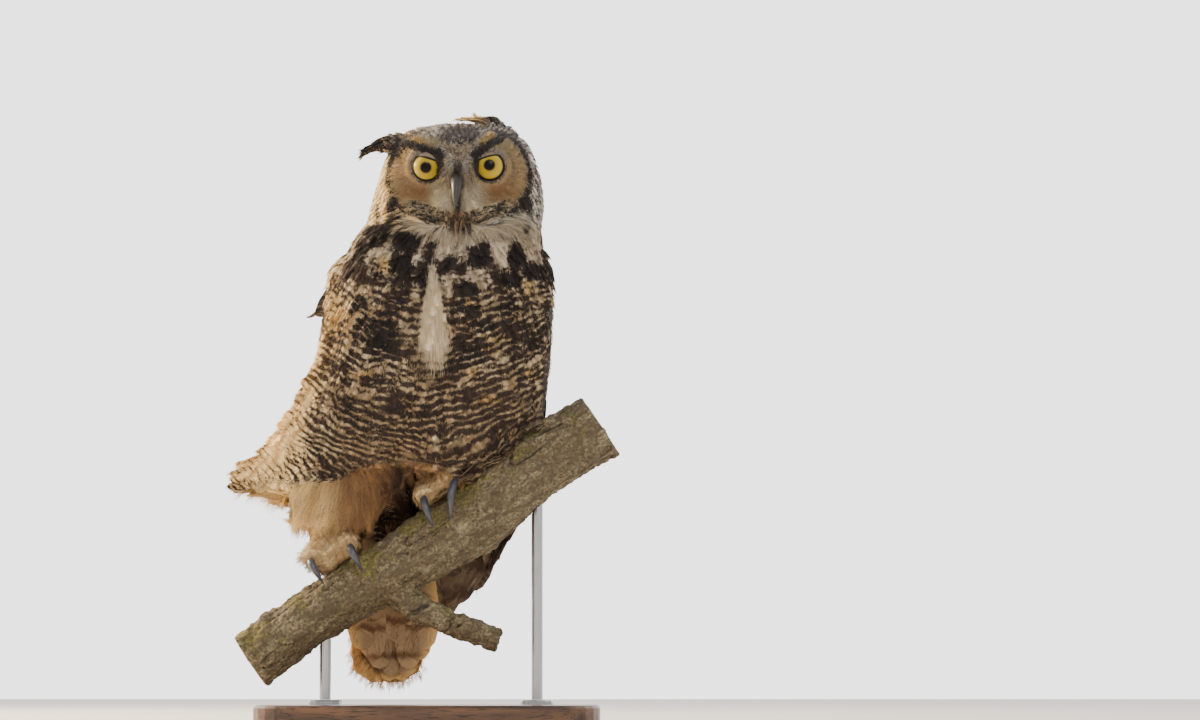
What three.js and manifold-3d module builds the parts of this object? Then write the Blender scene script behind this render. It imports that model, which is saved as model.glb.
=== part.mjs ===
// A great horned owl at life size, standing on a sloping cut branch that a plain display stand
// holds up. Millimetres, +Z up. The owl faces -Y. The origin is the centre of the underside of
// the stand's base. "Left" and "right" are the owl's own: its left side is at +X.
import * as THREE from "three";
import Module from "manifold-3d";
import { mergeVertices } from "three/addons/utils/BufferGeometryUtils.js";

const wasm = await Module();
wasm.setup();

// ---------------------------------------------------------------- driving dimensions
const GAP = 0.3; // clearance between neighbouring solids
const EYE_Z = 493; // height of the eyes above the floor
const HEAD_X = 26.5; // the head stands this far to the owl's left of the stand's centre
const EYE_SPREAD = 28.2; // from the middle of the face to each eye
const EYE_R = 14.6; // eyeball radius
const EYE_Y = -42.5; // depth of the eyeball's centre
const NECK_TOP_Z = 452; // where the head meets the neck
const NECK_BOTTOM_Z = 428; // where the neck meets the trunk
const TAIL_TIP_Z = 36;
const BASE_THICK = 18;
const PERCH_Y = -6; // depth of the branch's centre line

const COLOUR = {
  buff: 0x8a7358,
  breast: 0x7d6a55,
  wing: 0x5f5245,
  tail: 0xb08a62,
  face: 0xa5794f,
  tawny: 0xb98a5c,
  toe: 0xbfa78a,
  horn: 0x35333a,
  iris: 0xe6c52b,
  bark: 0x77705a,
  walnut: 0x4b3526,
  steel: 0x9a9ca0,
};

// ---------------------------------------------------------------- shared shape functions
const { sin, cos, PI, abs, sign, min, max, hypot } = Math;
const deg = THREE.MathUtils.degToRad;
const mix = THREE.MathUtils.lerp;

// Reads a table whose rows start with a key: the other columns at that key, on smooth curves.
function row(table, key) {
  const last = table.length - 1;
  const at = THREE.MathUtils.clamp(key, table[0][0], table[last][0]);
  const i = min(max(table.findIndex((r) => r[0] > at), 1) - 1, last - 1);
  const k = at >= table[last][0] ? last - 1 : i;
  const [a, b] = [table[k], table[k + 1]];
  const before = table[k - 1] ?? a;
  const after = table[k + 2] ?? b;
  const t = (at - a[0]) / (b[0] - a[0]);
  const span = b[0] - a[0];
  return a.slice(1).map((_, n) => {
    const c = n + 1;
    const slopeA = (b[c] - before[c]) / (b[0] - before[0]);
    const slopeB = (after[c] - a[c]) / (after[0] - a[0]);
    const t2 = t * t;
    const t3 = t2 * t;
    return (
      (2 * t3 - 3 * t2 + 1) * a[c] +
      (t3 - 2 * t2 + t) * span * slopeA +
      (3 * t2 - 2 * t3) * b[c] +
      (t3 - t2) * span * slopeB
    );
  });
}

// A closed solid's geometry from rings of points, each end closed by a fan round its middle.
function loft(rings) {
  const count = rings[0].length;
  const middles = [rings[0], rings.at(-1)].map((ring) =>
    ring.reduce((sum, p) => sum.add(p), new THREE.Vector3()).divideScalar(count),
  );
  const points = [...rings.flat(), ...middles];
  const index = [];
  rings.slice(1).forEach((_, r) => {
    for (let i = 0; i < count; i++) {
      const j = (i + 1) % count;
      const [a, b] = [r * count + i, r * count + j];
      index.push(a, b, a + count, b, b + count, a + count);
    }
  });
  const top = (rings.length - 1) * count;
  for (let i = 0; i < count; i++) {
    const j = (i + 1) % count;
    index.push(j, i, points.length - 2);
    index.push(top + i, top + j, points.length - 1);
  }
  const geometry = new THREE.BufferGeometry().setFromPoints(points);
  geometry.setIndex(index);
  return geometry;
}

// The geometry as a solid, turned so that its faces point out.
function solid(geometry) {
  const bare = geometry.clone();
  bare.deleteAttribute("normal");
  bare.deleteAttribute("uv");
  const merged = mergeVertices(bare, 1e-4);
  const make = (triVerts) =>
    new wasm.Manifold(
      new wasm.Mesh({ numProp: 3, vertProperties: merged.attributes.position.array, triVerts }),
    );
  const faces = new Uint32Array(merged.index.array);
  const made = make(faces);
  return made.volume() > 0 ? made : make(faces.reverse());
}

const less = (whole, ...cuts) => cuts.reduce((left, cut) => left.subtract(cut), whole);

function geometryOf(manifold) {
  const mesh = manifold.getMesh();
  const geometry = new THREE.BufferGeometry();
  geometry.setAttribute("position", new THREE.BufferAttribute(mesh.vertProperties, 3));
  geometry.setIndex(new THREE.BufferAttribute(mesh.triVerts, 1));
  geometry.computeVertexNormals();
  return geometry;
}

// A round-sectioned limb along a smooth path, as a solid. size(t) gives its half width and half
// depth, and grow makes it that much larger all round.
function limb(path, size, grow = 0, steps = 10, sides = 12) {
  const curve = new THREE.CatmullRomCurve3(path.map((p) => new THREE.Vector3(...p)));
  const depth = new THREE.Vector3(0, 1, 0);
  const rings = [];
  for (let i = 0; i <= steps; i++) {
    const t = i / steps;
    const along = curve.getTangent(t);
    const end = i === 0 ? -grow : i === steps ? grow : 0;
    const centre = curve.getPoint(t).addScaledVector(along, end);
    const wide = new THREE.Vector3().crossVectors(along, depth).normalize();
    const deep = new THREE.Vector3().crossVectors(wide, along).normalize();
    const [a, b] = size(t).map((half) => half + grow);
    rings.push(
      Array.from({ length: sides }, (_, k) => {
        const turn = (2 * PI * k) / sides;
        return centre.clone().addScaledVector(wide, a * cos(turn)).addScaledVector(deep, b * sin(turn));
      }),
    );
  }
  return solid(loft(rings));
}

// Rounds a limb's ends: full size between the two shares of its length, nearly nothing at its tips.
const rounded = (t, start, end) =>
  max(0.06, Math.sqrt(1 - max(0, 1 - t / start) ** 2) * Math.sqrt(1 - max(0, (t - 1 + end) / end) ** 2));

function ellipsoid(x, y, z, a, b, c, across = 24, down = 16) {
  return new THREE.SphereGeometry(1, across, down).rotateX(PI / 2).scale(a, b, c).translate(x, y, z);
}

// ---------------------------------------------------------------- the feathered body's form
// Height, half width, depth in front of the axis, depth behind it, depth of the axis, and how far
// to the owl's left the axis is: the body leans under the upright head. The rows below 200 are
// the sheaf of wing tips over the tail, which only the wings follow.
const BODY = [
  [96, 38, 4, 9, 63, -30],
  [108, 52, 5, 11, 62, -28],
  [130, 67, 7, 13, 61, -25],
  [163, 80, 10, 18, 58, -20],
  [200, 86, 36, 34, 43, -15],
  [226, 90, 68, 52, 25, -11],
  [256, 96, 80, 63, 14, -7],
  [292, 99, 84, 73, 5, -2],
  [338, 97, 85, 78, 0, 5],
  [380, 95, 80, 76, 0, 8.5],
  [412, 92, 72, 70, 1, 10.5],
  [432, 85, 67, 67, 2, 16],
  [450, 80, 63, 67, 2, 22],
  [468, 77, 61, 67, 2, 25],
  [485, 73.5, 60, 65, 3, HEAD_X],
  [498, 70, 59, 61, 4, HEAD_X],
  [511, 66, 55.5, 55, 5, HEAD_X],
  [521, 60, 50, 48, 7, HEAD_X],
  [529, 51, 42, 40, 9, HEAD_X],
  [535, 39, 31, 29, 11, HEAD_X],
  [538.5, 20, 14, 14, 12, HEAD_X],
];
// The section's roundness, where 2 is an ellipse and more is squarer: the face is the flattest.
const ROUNDNESS = [
  [400, 2.25],
  [450, 2.4],
  [485, 2.75],
  [538.5, 2.3],
];
// The wind lifts the right flank's feathers out to the side, and the wing over them a little.
const FLANK = { out: 76, z: 210, above: 58, below: 14, angle: 289, wide: 25 };

const axisX = (z) => row(BODY, z)[4];
const bell = (x, middle, width) => Math.exp(-(((x - middle) / width) ** 2));

// A point of the body's surface, at a height and an angle: 0 is the breast, 90 the owl's left
// side, 180 the back and 270 its right side. grow moves the surface out.
function bodyPoint(z, angle, grow = 0) {
  const [halfWidth, front, back, y, x] = row(BODY, z);
  const s = sin(deg(angle));
  const c = cos(deg(angle));
  const tall = z > FLANK.z ? FLANK.above : FLANK.below;
  const lift = FLANK.out * bell(z, FLANK.z, tall) * bell(angle, FLANK.angle, FLANK.wide);
  const power = 2 / row(ROUNDNESS, z)[0];
  const a = halfWidth + grow + lift;
  const b = (c > 0 ? front : back) + grow;
  return new THREE.Vector3(
    x + a * sign(s) * abs(s) ** power,
    y - b * sign(c) * abs(c) ** power,
    z,
  );
}

function bodyRing(z, grow, sides) {
  return Array.from({ length: sides }, (_, k) => bodyPoint(z, (360 * k) / sides, grow));
}

// ---------------------------------------------------------------- perch
// The branch's centre line runs up to the owl's left. Distance along it, height of the centre
// line's own wave, and radius.
const PERCH_LOW = new THREE.Vector3(-158, PERCH_Y, 56);
const PERCH_HIGH = new THREE.Vector3(152, PERCH_Y, 266);
const PERCH_LENGTH = PERCH_LOW.distanceTo(PERCH_HIGH);
const PERCH = [
  [0, 0, 27],
  [60, 3, 26],
  [120, 1, 26.5],
  [180, -4, 29],
  [240, -5, 31.5],
  [285, 3, 33],
  [330, 3, 31],
  [PERCH_LENGTH, 0, 30],
];
const perchAlong = PERCH_HIGH.clone().sub(PERCH_LOW).normalize();
const perchUp = new THREE.Vector3(-perchAlong.z, 0, perchAlong.x);
const perchFront = new THREE.Vector3(0, -1, 0);

const perchRadius = (s) => row(PERCH, s)[1];

// Knobs and flutes of the bark, as a share of the radius.
const bark = (s, turn) =>
  1 +
  0.035 * sin(3 * turn + s / 23) +
  0.03 * sin(5 * turn - s / 17 + 1) +
  0.03 * sin(s / 11 + 2 * turn) * sin(s / 29);

// A point round the branch: turn 0 is its upper side, 90 its front. out is from its centre line.
function roundPerch(s, turnDeg, out) {
  const turn = deg(turnDeg);
  return PERCH_LOW.clone()
    .addScaledVector(perchAlong, s)
    .addScaledVector(perchUp, row(PERCH, s)[0] + out * cos(turn))
    .addScaledVector(perchFront, out * sin(turn));
}

function perchSolid(grow = 0) {
  const sides = 14;
  const steps = 13;
  const rings = [];
  for (let i = 0; i <= steps; i++) {
    const s = mix(-grow, PERCH_LENGTH + grow, i / steps);
    rings.push(
      Array.from({ length: sides }, (_, k) => {
        const turn = (360 * k) / sides;
        return roundPerch(s, turn, perchRadius(s) * bark(s, deg(turn)) + grow);
      }),
    );
  }
  return solid(loft(rings));
}

// The sawn stub of a side branch, which leaves the perch's underside.
const FORK = [
  [-36, PERCH_Y, 124],
  [-8, PERCH_Y - 6, 103],
  [26, PERCH_Y - 10, 88],
  [62, PERCH_Y - 12, 75],
];
const forkSize = (t) => Array(2).fill(mix(15, 10.5, t) * (1 + 0.07 * sin(9 * t)));
const forkSolid = (grow = 0) => limb(FORK, forkSize, grow, 7, 10);

const branchRoom = perchSolid(GAP);
const perchRoom = branchRoom.add(forkSolid(GAP));

// ---------------------------------------------------------------- trunk, neck and head

// Below its lowest full ring the belly closes in smaller ones that draw back towards the tail,
// all but the flank. Each is given by its drop, its share of the full ring's size and how far
// back it moves.
const BELLY_Z = 216;
const BELLY_END = [
  [34, 0.22, 34],
  [27, 0.45, 26],
  [16, 0.72, 14],
  [6, 0.92, 4],
];

function trunkSolid(grow) {
  const sides = 22;
  const middle = new THREE.Vector3(axisX(BELLY_Z), row(BODY, BELLY_Z)[3], BELLY_Z);
  const rings = BELLY_END.map(([drop, share, back]) =>
    bodyRing(BELLY_Z, grow, sides).map((p) => {
      const q = p.clone().sub(middle).multiplyScalar(share).add(middle);
      const draw = back * bell(q.x, middle.x, 75);
      return new THREE.Vector3(q.x, q.y + draw, BELLY_Z - drop - grow);
    }),
  );
  const steps = 8;
  const top = NECK_BOTTOM_Z - GAP / 2 + grow;
  for (let i = 0; i <= steps; i++) rings.push(bodyRing(mix(BELLY_Z, top, i / steps), grow, sides));
  return solid(loft(rings));
}

const trunkRoom = trunkSolid(GAP);

// The face is shaped into the front of the head: it returns how far forward a point stands that
// is dx to the side of the face's middle and dz above the eyes. Each eye lies in a bowl with a
// ruff round it. The brow overhangs the bowl, and bristles fill the space beside the bill.
const SIDES = [
  ["left", 1],
  ["right", -1],
];
const faceX = (offset) => HEAD_X + offset;
const BROW = new THREE.Line3(new THREE.Vector3(5, -6, 0), new THREE.Vector3(46, 25, 0));

function faceRelief(dx, dz) {
  const out = hypot((abs(dx) - 33) / 32, (dz + 7) / 38);
  const bowl = -7 * THREE.MathUtils.smoothstep(1.02 - out, 0, 0.6);
  const ruff = 3.5 * bell(out, 1.1, 0.13);
  const spot = new THREE.Vector3(abs(dx), dz, 0);
  const fromBrow = BROW.closestPointToPoint(spot, true, new THREE.Vector3()).distanceTo(spot);
  const brow = 8 * bell(fromBrow, 0, 8);
  const bridge = 7 * bell(dx, 0, 10) * bell(dz, -15, 18);
  const bristles = 7 * bell(abs(dx), 13, 12) * bell(dz, -33, 13);
  const chin = 4 * bell(dx, 0, 40) * bell(dz, -50, 8);
  return bowl + ruff + brow + bridge + bristles + chin;
}

// The head and neck are one surface, with the face pressed into it, in closer columns in front.
function headPoint(z, angle, grow = 0) {
  const p = bodyPoint(z, angle, grow);
  const facing = THREE.MathUtils.smoothstep(cos(deg(angle)), 0, 0.35);
  return p.setY(p.y - facing * faceRelief(p.x - HEAD_X, z - EYE_Z));
}

function headSolid(from, to, steps, grow = 0) {
  const [front, behind] = [26, 7];
  const angles = [
    ...Array.from({ length: front }, (_, k) => -100 + (200 * k) / front),
    ...Array.from({ length: behind }, (_, k) => 100 + (160 * k) / behind),
  ];
  const rings = [];
  for (let i = 0; i <= steps; i++) {
    const end = i === 0 ? -grow : i === steps ? grow : 0;
    const z = mix(from, to, i / steps);
    rings.push(angles.map((angle) => headPoint(z, (angle + 360) % 360, grow).setZ(z + end)));
  }
  return solid(loft(rings));
}

const CROWN_Z = BODY.at(-1)[0];
const neck = headSolid(NECK_BOTTOM_Z + GAP / 2, NECK_TOP_Z - GAP / 2, 2);
const HEAD_STEPS = 14;

const eyeBall = (side, grow = 0) =>
  solid(ellipsoid(faceX(side * EYE_SPREAD), EYE_Y, EYE_Z, EYE_R + grow, EYE_R + grow, EYE_R + grow, 12, 7));

// The bill: a hooked upper half over a small lower one.
function billUpperSolid(grow = 0) {
  const path = [
    [faceX(-0.5), -57, EYE_Z - 12],
    [faceX(-0.5), -69, EYE_Z - 15],
    [faceX(-1), -77.5, EYE_Z - 24],
    [faceX(-1.8), -76, EYE_Z - 40],
  ];
  const size = (t) => {
    const share = Math.sqrt(max(0, 1 - t)) * 0.75 + 0.25 * (1 - t);
    return [7.2 * share + 0.35, 8.4 * share + 0.35];
  };
  return limb(path, size, grow, 7, 10);
}

function billLowerSolid(grow = 0) {
  const path = [
    [faceX(-0.5), -58, EYE_Z - 33],
    [faceX(-0.5), -66, EYE_Z - 36],
    [faceX(-0.6), -72, EYE_Z - 36.5],
  ];
  return limb(path, (t) => [5.2 * (1 - 0.72 * t), 4 * (1 - 0.72 * t)], grow, 4, 10);
}

// The ear tufts, both laid over towards the owl's right by the wind.
const TUFT = {
  right: {
    path: [
      [-6, -12, 516],
      [-30, -15, 520.5],
      [-46, -17, 516],
      [-61, -19, 507],
    ],
    size: (t) => [9 * rounded(t, 0.4, 1), 9 * rounded(t, 0.4, 1)],
  },
  left: {
    path: [
      [82, -4, 506],
      [75, -8, 521],
      [61, -10, 534],
      [40, -10, 543],
    ],
    size: (t) => [8 * rounded(t, 0.4, 0.9), 10 * rounded(t, 0.4, 0.9)],
  },
};
const tuftSolid = (name) => limb(TUFT[name].path, TUFT[name].size, 0, 7, 8);

const billRoom = billUpperSolid(GAP);
const headRoom = headSolid(NECK_TOP_Z, CROWN_Z, HEAD_STEPS, GAP);
const head = less(
  headSolid(NECK_TOP_Z + GAP / 2, CROWN_Z, HEAD_STEPS),
  ...SIDES.map(([, side]) => eyeBall(side, GAP)),
  billRoom,
  billLowerSolid(GAP),
);

// ---------------------------------------------------------------- wings
// A folded wing is a shell that starts inside the body's form, which then cuts it to fit. Height,
// angle of its front edge, angle of its back edge, and thickness, which is fullest where the
// secondaries lie over the lifted flank.
const WING_OVERLAP = 3;
const WING = [
  [97, 128, 150, 2.5],
  [106, 104, 162, 4],
  [125, 88, 170, 5],
  [160, 78, 174, 7],
  [190, 74, 174, 12],
  [212, 72, 174, 15],
  [235, 71, 173, 14],
  [270, 70, 172, 10],
  [330, 68, 166, 8],
  [375, 72, 158, 8],
  [408, 82, 144, 7],
  [424, 100, 124, 3],
];

function wingSolid(side) {
  const across = 7;
  const rings = WING.map(([z, front, back, thick]) => {
    const outer = [];
    const inner = [];
    for (let k = 0; k <= across; k++) {
      const v = k / across;
      const angle = mix(front, back, v);
      const turn = side > 0 ? angle : 360 - angle;
      const t = thick * (0.3 + 0.7 * sin(PI * v) ** 0.5);
      outer.push(bodyPoint(z, turn, GAP + t));
      inner.unshift(bodyPoint(z, turn, -WING_OVERLAP));
    }
    return [...outer, ...inner];
  });
  return solid(loft(rings));
}

// One scapular feather stands off the right shoulder.
const LOOSE_FEATHER = [
  [-72, 24, 410],
  [-87, 28, 394],
  [-98, 30, 379],
  [-108, 30, 362],
];
const looseSize = (t) => [7 * rounded(t, 0.3, 0.9), 2.2 * rounded(t, 0.3, 0.9)];
const looseFeather = limb(LOOSE_FEATHER, looseSize, 0, 6, 8);

// ---------------------------------------------------------------- tail
// Height, half width, half thickness, depth of its middle, and how far to the side that is.
const TAIL = [
  [TAIL_TIP_Z, 15, 1.4, 60, -41],
  [TAIL_TIP_Z + 5, 27, 1.9, 60, -41],
  [TAIL_TIP_Z + 16, 35, 2.4, 59.5, -40],
  [80, 38.5, 3, 58.5, -38.5],
  [130, 37, 4.5, 56, -32],
  [180, 32, 7, 50, -22],
  [232, 26, 10, 40, -9],
];

function tailSolid(grow) {
  const around = 12;
  const steps = 7;
  const rings = [];
  for (let i = 0; i <= steps; i++) {
    const z = mix(TAIL_TIP_Z, 232, (i / steps) ** 1.5) - (i === 0 ? grow : 0);
    const [halfWidth, half, y, x] = row(TAIL, z);
    rings.push(
      Array.from({ length: around }, (_, k) => {
        const turn = (2 * PI * k) / around;
        const arch = 5 * cos(turn) ** 2; // the outer feathers lie further forward than the middle ones
        return new THREE.Vector3(
          x + (halfWidth + grow) * cos(turn),
          y - arch + (half + grow) * sin(turn),
          z,
        );
      }),
    );
  }
  return solid(loft(rings));
}

const tail = tailSolid(0).subtract(trunkRoom).subtract(perchRoom);
const tailRoom = tailSolid(GAP);

// ---------------------------------------------------------------- legs and feet
// Each thigh is a full tawny trouser of down that narrows to the feathered foot.
const THIGH = {
  right: {
    path: [
      [-60, 22, 254],
      [-75, 13, 226],
      [-84, 1, 198],
      [-86, -7, 162],
    ],
    size: (t) => [mix(56, 36, t) * rounded(t, 0.3, 0.1), mix(38, 29, t) * rounded(t, 0.3, 0.1)],
  },
  left: {
    path: [
      [24, 8, 272],
      [16, 2, 252],
      [9, -5, 236],
      [5, -8, 224],
    ],
    size: (t) => [mix(38, 22, t) * rounded(t, 0.3, 0.2), mix(34, 22, t) * rounded(t, 0.3, 0.2)],
  },
};
const thighSolid = (name, grow = 0) => limb(THIGH[name].path, THIGH[name].size, grow, 7, 12);

// Toes go round the branch from the foot's ball. For each: the distance along the branch where it
// leaves the ball, where it ends and where its claw's tip is, the turn round the branch at the
// last two, and its radius. The outer toe of each foot is turned back beside the hind toe.
const FOOT = {
  right: {
    ball: 119,
    toes: {
      middle: [113, 95, 93, 32, 58, 18.5],
      inner: [125, 131, 128, 38, 74, 13.5],
      outer: [112, 101, 98, -44, -80, 13],
      hind: [125, 132, 129, -46, -82, 12],
    },
  },
  left: {
    ball: 223,
    toes: {
      middle: [229, 241, 216, 38, 78, 11.5],
      inner: [216, 209, 201, 32, 72, 12.5],
      outer: [216, 208, 204, -46, -84, 12],
      hind: [230, 238, 232, -48, -86, 11],
    },
  },
};
const BALL_OUT = 13; // the middle of the foot's ball stands this far off the bark
const BALL_R = 17;
const CLAW_R = 3.6;

const plain = (v) => [v.x, v.y, v.z];

// A toe arches from the ball of the foot and comes down on the bark where its claw starts.
function toePath([atBall, atEnd, , turnEnd, , thick]) {
  const r = perchRadius(atEnd);
  const place = (share, turn, out) => plain(roundPerch(mix(atBall, atEnd, share), turnEnd * turn, out));
  return [
    place(0, 0, r + BALL_OUT),
    place(0.4, 0.36, r + BALL_OUT + 0.8),
    place(0.75, 0.72, r + thick + 1.2),
    place(1, 1, r + thick - 0.5),
  ];
}

function toeSolid(toe, grow) {
  const size = (t) => Array(2).fill((toe[5] + 0.5) * rounded(t, 0.3, 0.24));
  return limb(toePath(toe), size, grow, 5, 7);
}

// A claw leaves the top of its toe's end, arches clear of the bark and comes down almost on it.
function clawSolid([, atEnd, atTip, turnEnd, turnTip, thick], grow = 0) {
  const r = perchRadius(atTip);
  const place = (share, out) =>
    plain(roundPerch(mix(atEnd, atTip, share), mix(turnEnd, turnTip, share), out));
  const path = [
    place(-0.1, r + thick + 2),
    place(0.3, r + thick + 6),
    place(0.7, r + thick + 1),
    place(1, r + 2.6),
  ];
  const size = (t) => {
    const half = mix(CLAW_R, 0.5, t ** 1.3) * rounded(t, 0.1, 0.05);
    return [half, half * 1.15];
  };
  return limb(path, size, grow, 5, 6);
}

// The foot's ball with its four toes.
function footSolid(name, grow = 0) {
  const foot = FOOT[name];
  const [x, y, z] = plain(roundPerch(foot.ball, 0, perchRadius(foot.ball) + BALL_OUT));
  const [a, b, c] = [BALL_R + 3, BALL_R, BALL_R - 2].map((half) => half + grow);
  return Object.values(foot.toes).reduce(
    (made, toe) => made.add(toeSolid(toe, grow)),
    solid(ellipsoid(x, y, z, a, b, c, 10, 6)),
  );
}

// The space that the belly's feathers leave round a foot and its claws.
function footHollow(name) {
  const { ball } = FOOT[name];
  const { x, y, z } = roundPerch(ball, 0, perchRadius(ball) + BALL_OUT);
  return solid(ellipsoid(x + 3, y, z - 12, 38, 62, 33, 10, 5));
}

// ---------------------------------------------------------------- stand
const ROD_R = 5;
const FLANGE_R = 15;
const FLANGE_THICK = 4;
const ROD_AT = [
  ["low", -92],
  ["high", 96],
];
const ROD_TOP_Z = 250; // the branch then cuts the rods to length

function baseGeometry() {
  const [halfX, halfY, corner, edge] = [152, 98, 40, 2.5];
  const [w, h] = [halfX - edge, halfY - edge];
  const outline = new THREE.Shape();
  outline.moveTo(-w + corner, -h);
  outline.lineTo(w - corner, -h);
  outline.absarc(w - corner, -h + corner, corner, -PI / 2, 0);
  outline.lineTo(w, h - corner);
  outline.absarc(w - corner, h - corner, corner, 0, PI / 2);
  outline.lineTo(-w + corner, h);
  outline.absarc(-w + corner, h - corner, corner, PI / 2, PI);
  outline.lineTo(-w, -h + corner);
  outline.absarc(-w + corner, -h + corner, corner, PI, (3 * PI) / 2);
  return new THREE.ExtrudeGeometry(outline, {
    depth: BASE_THICK - 2 * edge,
    bevelThickness: edge,
    bevelSize: edge,
    bevelSegments: 1,
    curveSegments: 3,
  }).translate(0, 0, edge);
}

// A lathe-turned round piece of the stand, standing under the branch's centre line.
function turned(x, profile) {
  const points = profile.map((p) => new THREE.Vector2(...p));
  return solid(new THREE.LatheGeometry(points, 12).rotateX(PI / 2).translate(x, PERCH_Y, 0));
}

// The flange that a rod is screwed into lies on the base.
function flangeSolid(x) {
  const foot = BASE_THICK + GAP;
  const top = foot + FLANGE_THICK;
  return turned(x, [
    [0, foot],
    [FLANGE_R, foot],
    [FLANGE_R, top - 1],
    [FLANGE_R - 1, top],
    [0, top],
  ]);
}

function rodSolid(x) {
  const foot = BASE_THICK + FLANGE_THICK + 2 * GAP;
  const profile = [
    [0, foot],
    [ROD_R, foot],
    [ROD_R, ROD_TOP_Z],
    [0, ROD_TOP_Z],
  ];
  const pieces = turned(x, profile).subtract(perchRoom).decompose();
  return pieces.sort((a, b) => a.boundingBox().min[2] - b.boundingBox().min[2])[0];
}

// ---------------------------------------------------------------- the model
const owl = new THREE.Group();

function add(name, shape, colour, roughness = 0.85, metalness = 0) {
  const geometry = shape.isBufferGeometry ? shape : geometryOf(shape);
  const material = new THREE.MeshStandardMaterial({ color: colour, roughness, metalness });
  const mesh = new THREE.Mesh(geometry, material);
  mesh.name = name;
  owl.add(mesh);
}

add("head", head, COLOUR.face);
add("neck", neck, COLOUR.buff);
add("bill_upper", billUpperSolid(), COLOUR.horn, 0.4);
add("bill_lower", billLowerSolid().subtract(billRoom), COLOUR.horn, 0.4);

let trunk = trunkSolid(0).subtract(perchRoom).subtract(tailRoom);

for (const [name, side] of SIDES) {
  const toes = Object.entries(FOOT[name].toes);
  let footRoom = footSolid(name, GAP);
  let foot = footSolid(name).subtract(perchRoom);
  for (const [toeName, toe] of toes) {
    add("claw_" + name + "_" + toeName, clawSolid(toe), COLOUR.horn, 0.35);
    footRoom = footRoom.add(clawSolid(toe, GAP));
    foot = foot.subtract(clawSolid(toe, GAP));
  }
  add("foot_" + name, foot, COLOUR.toe);
  add("thigh_" + name, less(thighSolid(name), perchRoom, tailRoom, footRoom), COLOUR.tawny);
  trunk = less(trunk, thighSolid(name, GAP), footHollow(name), footRoom);

  let wing = wingSolid(side);
  if (name === "right") wing = wing.add(looseFeather);
  add("wing_" + name, less(wing, trunkRoom, perchRoom, tailRoom, thighSolid(name, GAP)), COLOUR.wing);

  add("eye_" + name, eyeBall(side), COLOUR.iris, 0.1);
  add("ear_tuft_" + name, tuftSolid(name).subtract(headRoom), COLOUR.wing);
}
add("trunk", trunk, COLOUR.breast);
add("tail", tail, COLOUR.tail);

add("perch", perchSolid(), COLOUR.bark, 0.95);
add("perch_fork", forkSolid().subtract(branchRoom), COLOUR.bark, 0.95);
add("stand_base", baseGeometry(), COLOUR.walnut, 0.5);
for (const [name, x] of ROD_AT) {
  add("stand_rod_" + name, rodSolid(x), COLOUR.steel, 0.3, 1);
  add("stand_flange_" + name, flangeSolid(x), COLOUR.steel, 0.3, 1);
}

export default owl;
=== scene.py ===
import math

import bmesh
import bpy
import numpy as np
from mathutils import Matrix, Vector
from mathutils.bvhtree import BVHTree
from mathutils.kdtree import KDTree


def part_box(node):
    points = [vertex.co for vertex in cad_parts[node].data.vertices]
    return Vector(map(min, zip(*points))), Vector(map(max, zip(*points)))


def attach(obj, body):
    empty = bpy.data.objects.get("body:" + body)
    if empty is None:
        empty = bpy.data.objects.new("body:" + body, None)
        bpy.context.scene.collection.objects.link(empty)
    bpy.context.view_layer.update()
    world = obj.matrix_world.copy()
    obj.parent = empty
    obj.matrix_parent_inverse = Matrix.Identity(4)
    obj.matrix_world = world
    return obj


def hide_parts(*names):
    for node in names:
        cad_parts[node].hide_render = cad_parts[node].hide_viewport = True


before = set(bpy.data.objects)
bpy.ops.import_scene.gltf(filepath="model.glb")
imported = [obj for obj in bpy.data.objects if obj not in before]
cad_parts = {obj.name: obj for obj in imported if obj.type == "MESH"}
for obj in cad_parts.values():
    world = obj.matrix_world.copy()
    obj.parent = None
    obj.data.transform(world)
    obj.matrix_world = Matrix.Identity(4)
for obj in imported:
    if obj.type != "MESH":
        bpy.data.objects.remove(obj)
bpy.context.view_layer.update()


# ------------------------------------------------------------------------------------ camera
# A long lens stands four metres in front, just above the floor, and looks slightly up. The owl
# stands left of the middle of the view.
VIEW_WIDTH = 1.0714  # m across the view, at the owl
VIEW_MIDDLE = (0.1518, 0.325)  # X and Z there
VIEW_DISTANCE = 4.0
LOOK_UP = math.radians(4)

camera_data = bpy.data.cameras.new("long_lens")
camera_data.sensor_width = 36
camera_data.lens = camera_data.sensor_width * VIEW_DISTANCE / VIEW_WIDTH
camera = bpy.data.objects.new("camera", camera_data)
camera.location = (
    VIEW_MIDDLE[0],
    -VIEW_DISTANCE * math.cos(LOOK_UP),
    VIEW_MIDDLE[1] - VIEW_DISTANCE * math.sin(LOOK_UP),
)
camera.rotation_euler = (math.pi / 2 + LOOK_UP, 0, 0)
bpy.context.collection.objects.link(camera)
bpy.context.scene.camera = camera


# -------------------------------------------------------------------------------------- skin
# One skin under all the feathers, from the crown to the toes. It is made from the body's solids
# merged into a single sheet without seams, and drawn in by the depth of the coat over each part.
MM = 0.001
FLESH = (
    "head", "neck", "trunk", "wing_left", "wing_right", "tail", "thigh_left", "thigh_right",
    "foot_left", "foot_right", "ear_tuft_left", "ear_tuft_right",
)
COAT_DEPTH = {  # mm from the skin to the feathers' outer face
    "head": 4.0, "neck": 5.5, "trunk": 6.0, "wing": 3.5, "tail": 1.2, "thigh": 4.5, "foot": 2.6,
    "ear": 2.5,
}
FACE_DEPTH = 2.2  # mm, over the facial discs
CLEFT = 6.0  # mm, the depth of the furrow between the legs
SKIN_GRAIN = 2.4 * MM  # size of the skin's facets
BRIDGING = 0.8 * MM  # the solids swell by this to close the gaps between them


def select_only(piece):
    for other in bpy.context.selected_objects:
        other.select_set(False)
    piece.select_set(True)
    bpy.context.view_layer.objects.active = piece


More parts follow.
